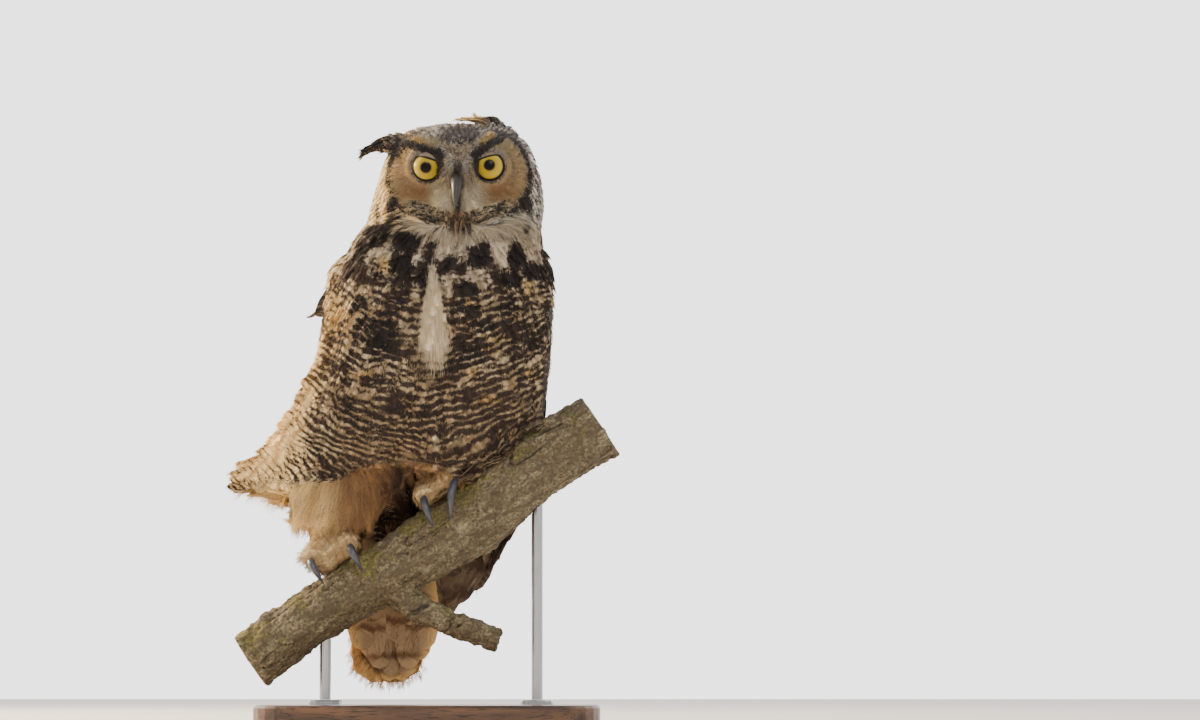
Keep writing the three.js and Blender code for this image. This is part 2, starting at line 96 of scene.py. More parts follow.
def new_object(name, vertices, faces):
    """A mesh object from an array of points in metres and rows of corner numbers."""
    mesh = bpy.data.meshes.new(name)
    mesh.vertices.add(len(vertices))
    move_points(mesh, vertices)
    corners = faces.shape[1]
    mesh.loops.add(faces.size)
    mesh.loops.foreach_set("vertex_index", faces.astype(np.int32).ravel())
    mesh.polygons.add(len(faces))
    mesh.polygons.foreach_set("loop_start", np.arange(0, faces.size, corners, dtype=np.int32))
    mesh.update(calc_edges=True)
    mesh.shade_smooth()
    made = bpy.data.objects.new(name, mesh)
    bpy.context.collection.objects.link(made)
    return made


def vectors_of(items, field):
    """Three numbers of each item of a mesh, as an array."""
    found = np.empty(len(items) * 3, dtype=np.float32)
    items.foreach_get(field, found)
    return found.reshape(-1, 3).astype(float)


def points_of(mesh):
    return vectors_of(mesh.vertices, "co")


def normals_of(mesh):
    return vectors_of(mesh.vertex_normals, "vector")


def move_points(mesh, places):
    mesh.vertices.foreach_set("co", np.ascontiguousarray(places, dtype=np.float32).ravel())


def unit(vectors):
    return vectors / np.maximum(np.linalg.norm(vectors, axis=-1, keepdims=True), 1e-9)


def columns(*values):
    """Points or ways from their X, Y and Z, each an array or a number."""
    return np.stack(np.broadcast_arrays(*values), axis=-1)


def fade(value, low, high):
    """How far a value has come from low to high, from 0 to 1, starting and ending gently."""
    t = np.clip((value - low) / (high - low), 0, 1)
    return t * t * (3 - 2 * t)


def apply_modifier(piece, kind, **settings):
    modifier = piece.modifiers.new(kind.lower(), kind)
    for key, value in settings.items():
        setattr(modifier, key, value)
    select_only(piece)
    bpy.ops.object.modifier_apply(modifier=modifier.name)


def cleaned(nodes):
    """The CAD meshes of nodes in one, its corners joined and its faces turned outwards."""
    merged = bmesh.new()
    for node in nodes:
        merged.from_mesh(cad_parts[node].data)
    bmesh.ops.remove_doubles(merged, verts=merged.verts, dist=1e-6)
    bmesh.ops.recalc_face_normals(merged, faces=merged.faces)
    return merged


def swollen_flesh():
    """The flesh solids in one mesh, each swollen a little, and each face's part of the body."""
    vertices, faces, part_of_face = [], [], []
    count = 0
    for index, node in enumerate(FLESH):
        solid = cleaned([node])
        solid.normal_update()
        vertices.extend(v.co + v.normal * BRIDGING for v in solid.verts)
        faces.extend([v.index + count for v in f.verts] for f in solid.faces)
        part_of_face.extend([index] * len(solid.faces))
        count += len(solid.verts)
        solid.free()
    return np.array(vertices), np.array(faces), np.array(part_of_face)


flesh_points, flesh_faces, flesh_parts = swollen_flesh()
skin = new_object("skin", flesh_points, flesh_faces)
apply_modifier(skin, "REMESH", mode="VOXEL", voxel_size=SKIN_GRAIN)
apply_modifier(skin, "SMOOTH", factor=0.5, iterations=6)
skin.data.shade_smooth()

skin_points = points_of(skin.data)
skin_normals = normals_of(skin.data)
flesh_tree = BVHTree.FromPolygons(flesh_points.tolist(), flesh_faces.tolist())
skin_part = flesh_parts[[flesh_tree.find_nearest(p)[2] for p in skin_points]]
skin_edges = np.array([edge.vertices[:] for edge in skin.data.edges])
skin_faces = np.array([face.vertices[:] for face in skin.data.polygons])


def eased(values, times):
    """Each skin point's value, averaged with its neighbours' a number of times."""
    a, b = skin_edges.T
    neighbours = np.maximum(np.bincount(skin_edges.ravel(), minlength=len(skin_points)), 1)
    values = np.array(values, dtype=float).reshape(len(skin_points), -1)
    for _ in range(times):
        total = np.zeros_like(values)
        for column in range(values.shape[1]):
            total[:, column] += np.bincount(a, values[b, column], len(values))
            total[:, column] += np.bincount(b, values[a, column], len(values))
        values = (values + total / neighbours[:, None]) / 2
    return values


# The face: its middle, and the two eyes, from the solids.
eye_boxes = [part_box("eye_" + side) for side in ("left", "right")]
EYES = [np.array((low + high) / 2) for low, high in eye_boxes]
EYE_RADIUS = (eye_boxes[0][1].x - eye_boxes[0][0].x) / 2
FACE_MIDDLE = (EYES[0] + EYES[1]) / 2
EYE_ASIDE = (EYES[0][0] - FACE_MIDDLE[0]) / MM  # from the face's middle to each eye's


def face_place(points):
    """Across from the face's middle, up from the eyes, and back from them, in mm."""
    across, back, up = ((points - FACE_MIDDLE) / MM).T
    return across, up, back


def disc_distance(across, up):
    """How far a place is from the middle of its side's facial disc, in mm."""
    return np.hypot(np.abs(across) - 20, up + 6)


def coat_depth(points, normals):
    """The coat's depth over each skin point, less where the body is thin and round the eyes."""
    by_part = np.array([COAT_DEPTH[node.split("_")[0]] for node in FLESH])
    depth = by_part[skin_part]
    across, up, back = face_place(points)
    on_face = fade(disc_distance(across, up), 46, 40) * fade(back, 20, 5)
    depth = depth + (FACE_DEPTH - depth) * on_face
    from_eye = np.minimum(*(np.linalg.norm(points - eye, axis=1) for eye in EYES)) / MM
    depth *= fade(from_eye, 14, 22)
    tree = BVHTree.FromPolygons(points.tolist(), skin_faces.tolist())
    for i, (point, normal) in enumerate(zip(points, normals)):
        hit = tree.ray_cast(point - normal * 0.2 * MM, -normal)[3]
        if hit is not None:
            depth[i] = min(depth[i], 0.33 * hit / MM)
    return depth


def cleft_depth(points):
    """A furrow down the belly, deepest above the gap between the legs."""
    x, _, z = (points / MM).T
    middle = np.interp(z, [235, 268, 310, 330], [-28, -22, 4, 8])
    return CLEFT * np.exp(-(((x - middle) / 9) ** 2)) * fade(z, 328, 285) * fade(z, 210, 235)


skin_depth = eased(coat_depth(skin_points, skin_normals), 6)[:, 0]
furrow = cleft_depth(skin_points) * (skin_normals[:, 1] < -0.2)
skin_points = skin_points - skin_normals * ((skin_depth + furrow) * MM + BRIDGING)[:, None]
skin_points = eased(skin_points, 3)
move_points(skin.data, skin_points)
skin.data.update()
skin_normals = unit(eased(normals_of(skin.data), 4))
skin_tree = BVHTree.FromPolygons(skin_points.tolist(), skin_faces.tolist())
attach(skin, "root")
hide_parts(*FLESH)

# An unwrap of the skin's own shape gives every feather its place in the baked colours.
select_only(skin)
skin.data.uv_layers.new(name="unwrap")
bpy.ops.object.mode_set(mode="EDIT")
bpy.ops.mesh.select_all(action="SELECT")
bpy.ops.uv.smart_project(angle_limit=math.radians(66), island_margin=0.002)
bpy.ops.object.mode_set(mode="OBJECT")
unwrap = np.empty(len(skin.data.loops) * 2, dtype=np.float32)
skin.data.uv_layers["unwrap"].data.foreach_get("uv", unwrap)
face_unwrap = unwrap.reshape(len(skin_faces), 4, 2).mean(axis=1)


# ------------------------------------------------------------------------------ the markings
# Melanin colours a feather in bars, flecks and blotches. Skin and feathers read the same
# functions of place. Each gives the ground colour, the dark mark's colour, how much of the
# ground the marks cover (0 to 1), how many bars lie between a place and the floor, and whether
# the marks are flecks (1) or bars (0).
BAR_SPACING = 7.4  # mm between the belly's bars
WING_BAR_SPACING = 23.0
TAIL_BAR_SPACING = 27.0
TAIL_MIDDLE = -35.0  # along X, in mm


def tint(code):
    """A colour from its sRGB hex code, in linear light."""
    channels = np.array([int(code[i : i + 2], 16) for i in (1, 3, 5)]) / 255
    return np.where(channels <= 0.04045, channels / 12.92, ((channels + 0.055) / 1.055) ** 2.4)


def mix(first, second, share):
    """A colour between two, each in linear light or as an sRGB hex code, for each place's share
    of the second."""
    first, second = (tint(code) if isinstance(code, str) else code for code in (first, second))
    first = np.broadcast_to(first, (len(share), 3))
    return first + (second - first) * np.clip(share, 0, 1)[:, None]


def plain(code, place):
    """One colour for every place."""
    return np.broadcast_to(tint(code), place.shape)


def bell(value, middle, width):
    """1 at the middle, and falling away to nothing over about two widths."""
    return np.exp(-(((value - middle) / width) ** 2))


def clouds(places, size, seed=0.0):
    """Smooth random values from 0 to 1 over places in mm, in patches of a size."""
    cell = np.floor(places / size)
    t = places / size - cell
    t = t * t * (3 - 2 * t)
    total = np.zeros(len(places))
    for corner in np.ndindex(2, 2, 2):
        weight = np.prod(np.where(corner, t, 1 - t), axis=1)
        spot = (cell + corner) @ (127.1, 311.7, 74.7) + seed * 19.19
        total += weight * ((np.sin(spot) * 43758.5453) % 1)
    return total


def band(across, up, line, thickness):
    """A mark along a line of points on the face, full inside its thickness, in mm."""
    place = columns(across, up)
    nearest = np.full(len(place), 1e9)
    for start, end in zip(line[:-1], line[1:]):
        start, run = np.array(start), np.subtract(end, start)
        t = np.clip((place - start) @ run / (run @ run), 0, 1)
        nearest = np.minimum(nearest, np.linalg.norm(place - start - t[:, None] * run, axis=1))
    return fade(nearest, thickness * 0.62, thickness * 0.38)


def body_middle(z):
    """How far along X the breast's middle is, for a height, in mm."""
    return np.interp(z, [180, 230, 300, 360, 430], [-24, -16, -2, 6, 20])


def body_lean(x, z):
    """How far aside the body's feathers lean, for each unit down, and that lean summed over X."""
    side = x - body_middle(z)
    curl = np.where(side < 0, 0.0082, 0.0072)
    by_cleft = -0.6 * fade(z, 262, 235)
    lean = curl * side + by_cleft * bell(x, -4, 20)
    summed = curl * side**2 / 2 + by_cleft * 17.7 * np.tanh((x + 4) / 16.5)
    return lean, summed


def hem(x):
    """How high the belly's feathers end over the legs, in mm."""
    over_legs = [-170, -140, -120, -80, -64, -45, -22, -5, 8, 22, 40, 60, 80]
    ends = [205, 216, 214, 216, 226, 231, 233, 231, 226, 219, 212, 218, 240]
    return np.interp(x, over_legs, ends)


# Where the upper breast is black, and where warm or pale patches show: X, Z, half width and
# half height in mm.
BREAST_BLACK = (
    (-44, 434, 12, 15), (-18, 430, 13, 14), (-22, 402, 12, 12), (5, 427, 6, 7), (47, 415, 10, 15),
    (78, 414, 8, 12), (72, 392, 10, 8), (36, 382, 12, 7), (20, 406, 6, 6), (92, 402, 9, 8),
    (-60, 420, 7, 10), (-5, 390, 7, 5), (50, 438, 7, 6),
    (-24, 371, 9, 6), (-70, 404, 6, 10), (-40, 340, 13, 26), (38, 366, 12, 7), (50, 350, 13, 6),
    (40, 322, 14, 8), (-58, 372, 9, 7), (72, 366, 9, 6),
)
BREAST_WARM = (
    (61, 338, 11, 3), (55, 329, 8, 3), (36, 370, 5, 3), (-54, 307, 8, 4), (55, 285, 12, 3.5),
    (-38, 404, 9, 8), (88, 386, 6, 8), (90, 310, 6, 4), (38, 309, 6, 2.5), (-84, 360, 9, 20),
)


def streak_inside(x, z):
    """How far inside the white streak down the breast's middle a place is, in mm."""
    middle = np.interp(z, [310, 335, 370, 410], [7, 7, 5, 5])
    half = np.interp(z, [309, 317, 328, 346, 366, 386, 402, 415], [0, 9, 14, 13, 9, 5, 3, 0])
    return half - np.abs(x - middle)


def body_markings(points):
    """Breast, belly, flanks and back."""
    place = points / MM
    x, y, z = place.T
    front = np.maximum(fade(y, 30, -5), on_flank(place))
    # Painted warm light: the owl's right edge, towards the side lamp, is painted golden and paler
    # (lit), with fewer and paler marks.
    edge = np.interp(z, [205, 240, 300, 380, 430], [-168, -142, -114, -106, -88])
    lit = fade(x - edge, 30, 8) * fade(z, 205, 245) * front
    ground = mix("#c3ae8a", "#9c8465", clouds(place, 11, 2) * 1.3 - 0.1)
    ground = mix(ground, "#a9825a", fade(clouds(place, 19, 1), 0.64, 0.8) * 0.5)
    ground = mix(ground, "#f4d8a2", fade(x, -92, -120) * front)
    ground = mix(ground, "#ffd997", lit * 0.95)
    ground = mix(ground, "#b99a6c", on_flank(place) * fade(y, 0, 22) * 0.8)
    low = fade(z, 320, 280) * fade(x, -92, -70) * front
    ground = mix(ground, "#8f7555", low * 0.6)
    # Painted light thins the marks at the lit edge.
    share = 0.6 + 0.3 * (clouds(place, 15, 3) - 0.5) - 0.28 * lit
    share += 0.05 * low
    # Painted light: fewer marks still at the outermost right edge.
    share -= 0.12 * fade(x, -100, -125)
    share += (0.06 + 0.3 * (clouds(place, 13, 31) - 0.4)) * fade(z, 290, 330) * front
    share += 0.6 * (clouds(place, 4.5, 32) - 0.5) * fade(z, 250, 330)
    broken = 0.45 + 0.55 * fade(z, 250, 300)
    share -= 0.5 * broken * fade(clouds(place * (0.7, 1, 1.3), 7, 35), 0.6, 0.78)
    share += 0.45 * broken * fade(clouds(place * (0.6, 1, 1.2), 8, 36), 0.62, 0.8)

    # The upper breast is blotched rather than barred, in black and grey-buff.
    upright = clouds(place * (1, 1, 0.6), 10, 4)
    blotched = 0.3 + 0.5 * fade(upright, 0.48, 0.68)
    high = fade(z + 14 * clouds(place, 20, 5), 380, 408) * front
    share += (blotched - share) * high
    ground = mix(ground, "#bfb19b", high * 0.6)
    blackest = np.zeros(len(place))
    for at_x, at_z, wide, tall in BREAST_BLACK:
        black = np.hypot((x - at_x) / wide, (z - at_z) / tall) + 0.7 * (clouds(place, 6, 5) - 0.5)
        full = 1.06 if at_z > 380 else 0.74
        black = fade(black, 1.15, 0.8) * front
        share += np.maximum(full - share, 0) * black
        blackest = np.maximum(blackest, black)

    # A white streak runs down the middle of the breast.
    streak = streak_inside(x, z) + 5 * (clouds(place, 6, 6) - 0.5)
    streak = fade(streak, -2, 2.5) * front
    ground = mix(ground, "#e6d3b0", streak)
    share *= 1 - streak
    for at_x, at_z, wide, tall in BREAST_WARM:
        spot = bell(x, at_x, wide) * bell(z, at_z, tall) * front
        ground = mix(ground, "#b69151", spot * 0.9)
        share -= 0.5 * spot * share

    # Behind, the mantle is darker and greyer, in closer and more broken bars.
    behind = 1 - front
    ground = mix(ground, mix("#8a7863", "#b39f80", clouds(place, 12, 53)), behind * 0.8)
    share += behind * (0.06 + 0.3 * (clouds(place, 9, 7) - 0.5))
    warp = 5.5 * clouds(place, 15, 8) + 3.5 * clouds(place, 6, 33)
    drop = body_lean(x, z)[1] - z + warp
    mark = mix("#231914", "#3b2c23", clouds(place, 30, 9) * 1.2)
    mark = mix(mark, "#181210", blackest * 0.8)
    # Painted light makes the marks paler at the lit edge.
    mark = mix(mark, "#7d5f40", lit * 0.6)
    flecked = 0.35 * behind + 0.7 * high + 0.35 * fade(z, 310, 360) * front * (1 - high)
    under = fade(z, hem(x) + 2, hem(x) - 4) * front
    legs = leg_markings(points)
    values = (ground, mark, np.clip(share, 0, 1), drop / BAR_SPACING, np.clip(flecked, 0, 1))
    return [blended(a, b, under) for a, b in zip(values, legs)]


def on_flank(place):
    """How far a place is on the right flank, where belly feathers lie over the wing's edge."""
    x, y, z = place.T
    low = fade(x, -88, -98) * fade(z, 352, 340) * fade(z, 183, 190)
    return low * fade(y, 44, 34)


def blended(first, second, share):
    """Values of one or more columns, each place's mixed by its share of the second."""
    share = share.reshape(-1, *[1] * (np.ndim(first) - 1))
    return first * (1 - share) + second * share


# Lines on the face, as places across and up from its middle in mm: the black brows, the tawny
# stripes above them, and the pale lines that rise from the bill. The left brow rises more.
BROWS = {
    -1: [(16, 9), (23, 13.5), (33, 16.5), (53, 24)], 1: [(15, 10), (22, 16), (36, 25.5), (42, 33)],
}
STRIPES = {-1: [(27, 17), (37, 25), (46, 33)], 1: [(17, 17), (23, 23), (29, 31)]}
PALE_LINE = [(6, -2), (11, 11), (17, 18)]


def bib_edge(u):
    """How high the bib's lower edge lies at a distance from the face's middle, in mm."""
    return -73 + 17 * (np.minimum(u, 60) / 50) ** 1.5


def head_markings(points):
    """Crown, facial discs with their dark rims, brows, chin and bib."""
    place = points / MM
    across, up, back = face_place(points)
    u = np.abs(across)
    facing = fade(back, 26, 10)

    # Crown and sides: fine dark and pale flecks, golden towards the owl's right.
    golden = fade(across, -12, -46) * fade(back, 42, 18)
    ground = mix("#cdc3b4", "#f3d49c", golden)
    crown = fade(up, 20, 30)
    ground = mix(ground, "#b9aea1", crown)
    nape = fade(back, 28, 62)
    ground = mix(ground, "#9c866b", nape * 0.85)
    share = 0.47 + 0.14 * nape + 0.07 * crown - 0.16 * golden
    share += (0.3 - 0.18 * crown) * (clouds(place, 8, 37) - 0.5)
    mark = mix("#2c2420", "#574e4b", crown)

    def lay(colour, where, marked=0.0):
        """A patch of another ground colour, and of how much the marks cover it."""
        nonlocal ground, share
        ground = mix(ground, colour, where)
        share = share + (marked - share) * np.clip(where, 0, 1)

    def paired(lines, thickness):
        """A line on each side of the face."""
        return sum(
            band(s * across, up, line, thickness) * (s * across > 0) for s, line in lines.items()
        )

    # The facial discs are tan, rusty below and greyer above, and stippled grey at the middle.
    reach = np.hypot(u - EYE_ASIDE, up)
    r = disc_distance(across, up)
    disc = mix("#ad9169", "#ab9775", fade(up, 6, 26))
    disc = mix(disc, "#9a6f47", 0.8 * bell(u, 37, 13) * bell(up, -23, 9))
    disc = mix(disc, "#c9bb9f", fade(u, 30, 16) * fade(up, -10, -22))
    disc = mix(disc, "#b39a78", fade(up, -28, -38) * fade(u, 20, 34))
    middle = fade(u, 20, 13) * fade(up, -22, -10)
    disc = mix(disc, "#b09d83", middle)
    lay(disc, fade(r, 43, 41) * facing * fade(up - 0.25 * u, 25, 17), 0.16)
    share = share + 0.26 * middle * facing
    lay("#4a3f36", bell(u, 0, 5) * fade(up, 8, -2) * facing, 0.4)

    # Pale tawny lines rise from between the eyes, over the black brows.
    lay("#c29f6c", bell(across, -50, 10) * fade(up, 24, 30), 0.6)
    lay("#7d6347", bell(across, -60, 9) * bell(up, 22, 9), 0.7)
    lay("#b9975f", paired(STRIPES, 6.5) * facing, 0.25)
    lay("#c4baa8", band(u, up, PALE_LINE, 6) * facing * 0.7, 0.3)
    lay("#8f857a", fade(reach, 18, 16) * fade(up, 4, 9) * facing, 0.3)
    lay(ground, paired(BROWS, 7.5) * facing, 1.0)
    lay(ground, fade(reach, 15.2, 13.8) * fade(up, 9, 5) * facing, 0.95)

    # Dark rims close the discs at the sides and thicken at the cheeks.
    rim = 1.2 * bell(r, 42 + 1.5 * clouds(place, 9, 14), 1.8) * fade(u, 26, 36)
    rim = np.maximum(rim * fade(up, -44, -34), 1.3 * bell(u, 59, 4.5) * bell(up, -33, 8))
    lay(ground, rim * facing, 0.95)

    # Under the bill: a crescent of dark streaks, rusty in its middle, over the white bib.
    curve = -51 + 18 * (np.minimum(u, 60) / 50) ** 1.2
    crescent = fade(np.abs(up - curve), 9.5, 6) * fade(u, 50, 40) * facing
    lay(mix("#cdb993", "#9a7450", bell(u, 0, 12)), crescent, 0.58)
    low = bib_edge(u) + 5 * (clouds(place, 7, 16) - 0.5)
    bib = fade(up, low - 1, low + 2) * fade(up - low, 14, 11)
    lay("#c0b095", bib * fade(u, 64, 54) * facing, 0.1)
    shoulder = bell(across, -62, 14) * fade(up, -34, -44)
    shoulder *= fade(clouds(place * (1, 1, 0.5), 7, 38), 0.35, 0.6)
    share = share + (0.85 - share) * shoulder
    return ground, mark, np.clip(share, 0, 1), up / 8, np.ones(len(u))


def neck_markings(points):
    """The head's flecks and the bib run into the blotched breast."""
    across, up, _ = face_place(points)
    low = fade(up - bib_edge(np.abs(across)), 2, -2)
    return [blended(a, b, low) for a, b in zip(head_markings(points), body_markings(points))]


def wing_markings(points):
    """Coverts: grey-brown, mottled with buff, under the belly's feathers at the right flank."""
    place = points / MM
    low = fade(place[:, 2], 175, 150)
    ground = mix("#7f6e5a", "#a8916d", clouds(place, 15, 23))
    share = 0.6 + 0.36 * (clouds(place, 11, 24) - 0.5)
    mark = mix("#3a3029", "#51463e", clouds(place, 20, 22))
    ground = mix(ground, "#8a7762", low)
    mark = mix(mark, "#67564a", low)
    wing = (ground, mark, np.clip(share, 0, 1), -place[:, 2] / 9, np.full(len(place), 0.5))
    flank = on_flank(place)
    return [blended(a, b, flank) for a, b in zip(wing, body_markings(points))]


def quill_markings(points):
    """Flight feathers: broad dark bars on grey-brown and tawny."""
    place = points / MM
    low = fade(place[:, 2], 190, 160)
    ground = mix("#94806a", "#a98d68", clouds(place, 22, 25))
    ground = mix(ground, "#8a7762", low)
    mark = mix("#463930", "#67564a", low)
    bar = -place[:, 2] / WING_BAR_SPACING
    return ground, mark, 0.5 - 0.1 * low, bar, np.zeros(len(place))


def tail_edge_place(x, z):
    """How far out towards the tail's rounded edge a place is, from 0 to about 1."""
    return np.hypot(np.abs(x - TAIL_MIDDLE) / 38, np.maximum(92 - z, 0) / 56)


def tail_markings(points):
    """Tail: tawny brown underneath, darker on its upper side and golden at its edge, with faint
    dark bars far apart."""
    place = points / MM
    x, y, z = place.T
    ground = mix("#6b5946", "#b79c7a", fade(y, 57, 51))
    ground = mix(ground, "#9b7d5c", clouds(place * (2, 1, 0.4), 9, 34) * 0.8)
    edge = tail_edge_place(x, z)
    ground = mix(ground, "#f3c57e", fade(edge, 0.82, 0.98))
    above = fade(y, 51, 57)
    share = 0.3 * fade(edge, 0.95, 0.75) + 0.12 * above
    bar = -(z - 85) / TAIL_BAR_SPACING
    return ground, mix("#74563c", "#3b2c21", above), share, bar, np.zeros(len(place))


def leg_markings(points):
    """Tawny legs: brown inside, golden outside with painted warm light, and dark with painted shade
    in the gap between them.
    """
    place = points / MM
    x, y, z = place.T
    ground = mix("#b3885c", "#94704c", clouds(place * (1, 1, 0.5), 9, 26) * 1.1)
    # Painted warm light: the outer side, towards the side lamp, is painted golden.
    ground = mix(ground, "#ffdfa0", fade(x, -70, -100))
    paler = fade(clouds(place * (1, 1, 0.4), 6, 27), 0.55, 0.8)
    ground = mix(ground, "#c79a66", paler * 0.6)
    # Painted shade darkens the gap between the legs.
    gap_shade = bell(x, -26, 11) + fade(x, -36, -20) * fade(y, -30, 0)
    ground = mix(ground, "#59402c", gap_shade * fade(y, -70, -20) * 1.2)
    flat = np.zeros(len(place))
    return ground, plain("#6b4a30", place), flat + 0.24, -z / 8, flat + 1


def toe_markings(points):
    """Cream-buff down on the toes, with lines of painted shade where they crease as they bend."""
    place = points / MM
    x, _, z = place.T
    ground = mix("#e6cb9a", "#c6a273", clouds(place, 10, 28))
    # Painted warm light: the toes' outer edge, towards the side lamp, is painted paler.
    ground = mix(ground, "#efd9ad", fade(x, -102, -112))
    # Painted shadow: the right foot's toes are painted dark low down, round the claws.
    ground = mix(ground, "#3d352f", bell(x, -101, 12) * fade(z, 146, 138) * 0.9)
    # The creases are lines of painted shade.
    crease = np.where(x < -40, np.hypot(x + 112, z - 142) / 6.5, -(z - 0.3 * x) / 5.5)
    flat = np.zeros(len(place))
    return ground, plain("#856344", place), flat + 0.2, crease, flat + 0.1


def ear_markings(points):
    """Ear tufts: the right one black-brown with tan edges, the left one's pale side turned out."""
    place = points / MM
    x, _, z = place.T
    left = fade(x, 0, 20)
    ground = mix("#b3946c", mix("#ab9f8c", "#e6c48d", fade(x, 54, 42)), left)
    share = 0.78 - 0.16 * left - 0.5 * left * fade(x, 54, 44)
    under = fade(z - 0.45 * (x + 42), 514, 511) * fade(x, -42, -48)
    ground = mix(ground, "#c3bcb4", under)
    share = share - 0.5 * under
    flat = np.zeros(len(place))
    return ground, plain("#2c2422", place), share, flat, flat + 1


# Which markings each part of the skin has, and how each of their values is stored.
MARKINGS = {
    "head": head_markings, "neck": neck_markings, "trunk": neck_markings, "wing": wing_markings,
    "tail": tail_markings, "thigh": leg_markings, "foot": toe_markings, "ear": ear_markings,
}
MARKING_KINDS = {
    "ground": "FLOAT_COLOR", "mark": "FLOAT_COLOR", "share": "FLOAT", "phase": "FLOAT",
    "flecked": "FLOAT", "vane": "FLOAT_VECTOR",
}


def add_value(mesh, name, kind, values):
    """Stores a value on each of a mesh's points, for its material to read."""
    attribute = mesh.attributes.new(name, kind, "POINT")
    if kind == "FLOAT_COLOR":
        values = np.hstack([values, np.ones((len(values), 1))])
    field = {"FLOAT_COLOR": "color", "FLOAT_VECTOR": "vector"}.get(kind, "value")
    attribute.data.foreach_set(field, np.ascontiguousarray(values, dtype=np.float32).ravel())


def paint(piece, values):
    for (name, kind), value in zip(MARKING_KINDS.items(), values):
        add_value(piece.data, name, kind, value)


def add_node(tree, kind, inputs=None, **settings):
    """Adds a node and sets its properties. Each input is linked from an output, or from a node's
    first output, or is set to a number, a vector or a colour's hex code."""
    node = tree.nodes.new("ShaderNode" + kind)
    for key, value in settings.items():
        setattr(node, key, value)
    for key, given in (inputs or {}).items():
        if isinstance(given, bpy.types.Node):
            given = given.outputs[0]
        if isinstance(given, bpy.types.NodeSocket):
            tree.links.new(given, node.inputs[key])
        else:
            value = (*tint(given), 1) if isinstance(given, str) else given
            node.inputs[key].default_value = value
    return node


def new_material(name):
    material = bpy.data.materials.new(name)
    material.use_nodes = True
    material.node_tree.nodes.clear()
    return material, material.node_tree


def finish_material(tree, inputs, height=None, depth=0.0002, strength=0.5):
    """The shader with its inputs, its bump if it has a height, and the output."""
    shader = add_node(tree, "BsdfPrincipled", inputs)
    if height:
        bump = add_node(
            tree, "Bump", {"Height": height, "Distance": depth, "Strength": strength},
        )
        tree.links.new(bump.outputs[0], shader.inputs["Normal"])
    add_node(tree, "OutputMaterial", {"Surface": shader})


# Feather is keratin: matt, a little silky across its barbs, and dark where melanin fills it.
STREAKS = 0.3  # how much paler or darker than the feather a barb may be
TUFT_CONTRAST = 0.24  # from the darkest feather to the palest


def feather_material(name, softness=0.35, fleck_size=2.8, by_tuft=0.4):
    """Marks as stored on the feathers, ragged along the barbs. Each barb is a little paler or
    darker than the next, and so is each feather."""
    material, tree = new_material(name)
    outputs = ("Color", "Color", "Fac", "Fac", "Fac", "Vector")
    ground, mark, share, phase, flecked, vane = (
        add_node(tree, "Attribute", attribute_name=key).outputs[output]
        for key, output in zip(MARKING_KINDS, outputs)
    )
    barbs = add_node(
        tree, "TexNoise", {"Vector": vane, "Scale": 1.0, "Detail": 2.0, "Roughness": 0.6},
    )
    ragged = add_node(tree, "Math", {0: barbs, 1: 0.4, 2: phase}, operation="MULTIPLY_ADD")
    bars = add_node(
        tree, "Math",
        {0: add_node(tree, "Math", {0: ragged, 1: 0.5}, operation="PINGPONG"), 1: 2.0},
        operation="MULTIPLY",
    )
    flecks = add_node(
        tree, "TexNoise",
        {
            "Vector": add_node(tree, "TexCoord").outputs["Object"], "Scale": 1 / (fleck_size * MM),
            "Detail": 1.0,
        },
    )
    flecks = add_node(tree, "MapRange", {"Value": flecks, "From Min": 0.3, "From Max": 0.7})
    tuft = add_node(tree, "SeparateXYZ", {0: vane})
    tuft = add_node(tree, "Math", {0: tuft.outputs["Z"]}, operation="FRACT")
    flecks = add_node(tree, "Mix", {"A": flecks, "B": tuft, "Factor": by_tuft})
    source = {"Factor": flecked, "A": bars, "B": flecks.outputs[0]}
    source = add_node(tree, "Mix", source)
    reach = add_node(
        tree, "Math", {0: share, 1: 1 + softness, 2: -softness / 2}, operation="MULTIPLY_ADD",
    )
    inside = add_node(tree, "Math", {0: reach, 1: source}, operation="SUBTRACT")
    marked = add_node(
        tree, "MapRange", {"Value": inside, "From Min": -softness / 2, "From Max": softness / 2},
    )
    colour = add_node(tree, "Mix", {0: marked, 6: ground, 7: mark}, data_type="RGBA").outputs[2]
    lit = add_node(
        tree, "Math", {0: barbs, 1: 2 * STREAKS, 2: 1 - STREAKS}, operation="MULTIPLY_ADD",
    )
    lit = add_node(tree, "Math", {0: tuft, 1: TUFT_CONTRAST, 2: lit}, operation="MULTIPLY_ADD")
    lit = add_node(tree, "Math", {0: lit, 1: TUFT_CONTRAST / 2}, operation="SUBTRACT")
    shaded = add_node(tree, "VectorMath", {0: colour, 3: lit}, operation="SCALE")
    finish_material(
        tree,
        {
            "Base Color": shaded, "Roughness": 0.82, "Sheen Weight": 0.08, "Sheen Roughness": 0.4,
            "Specular IOR Level": 0.3,
        },
        barbs, 0.0003, 0.6,
    )
    return material


skin_values = [np.zeros((len(skin_points), n)) for n in (3, 3, 1, 1, 1)]
for index, node in enumerate(FLESH):
    here = skin_part == index
    for store, found in zip(skin_values, MARKINGS[node.split("_")[0]](skin_points[here])):
        store[here] = np.reshape(found, (here.sum(), -1))
paint(skin, skin_values + [skin_points / MM * (1, 1, 0) + 0.5])
feather_matt = feather_material("barred_feather")
face_matt = feather_material("finely_flecked_feather", 0.45, 1.8, 0.5)
chin_matt = feather_material("streaked_feather", 0.3, 2.8, 0.92)
skin.data.materials.append(feather_matt)


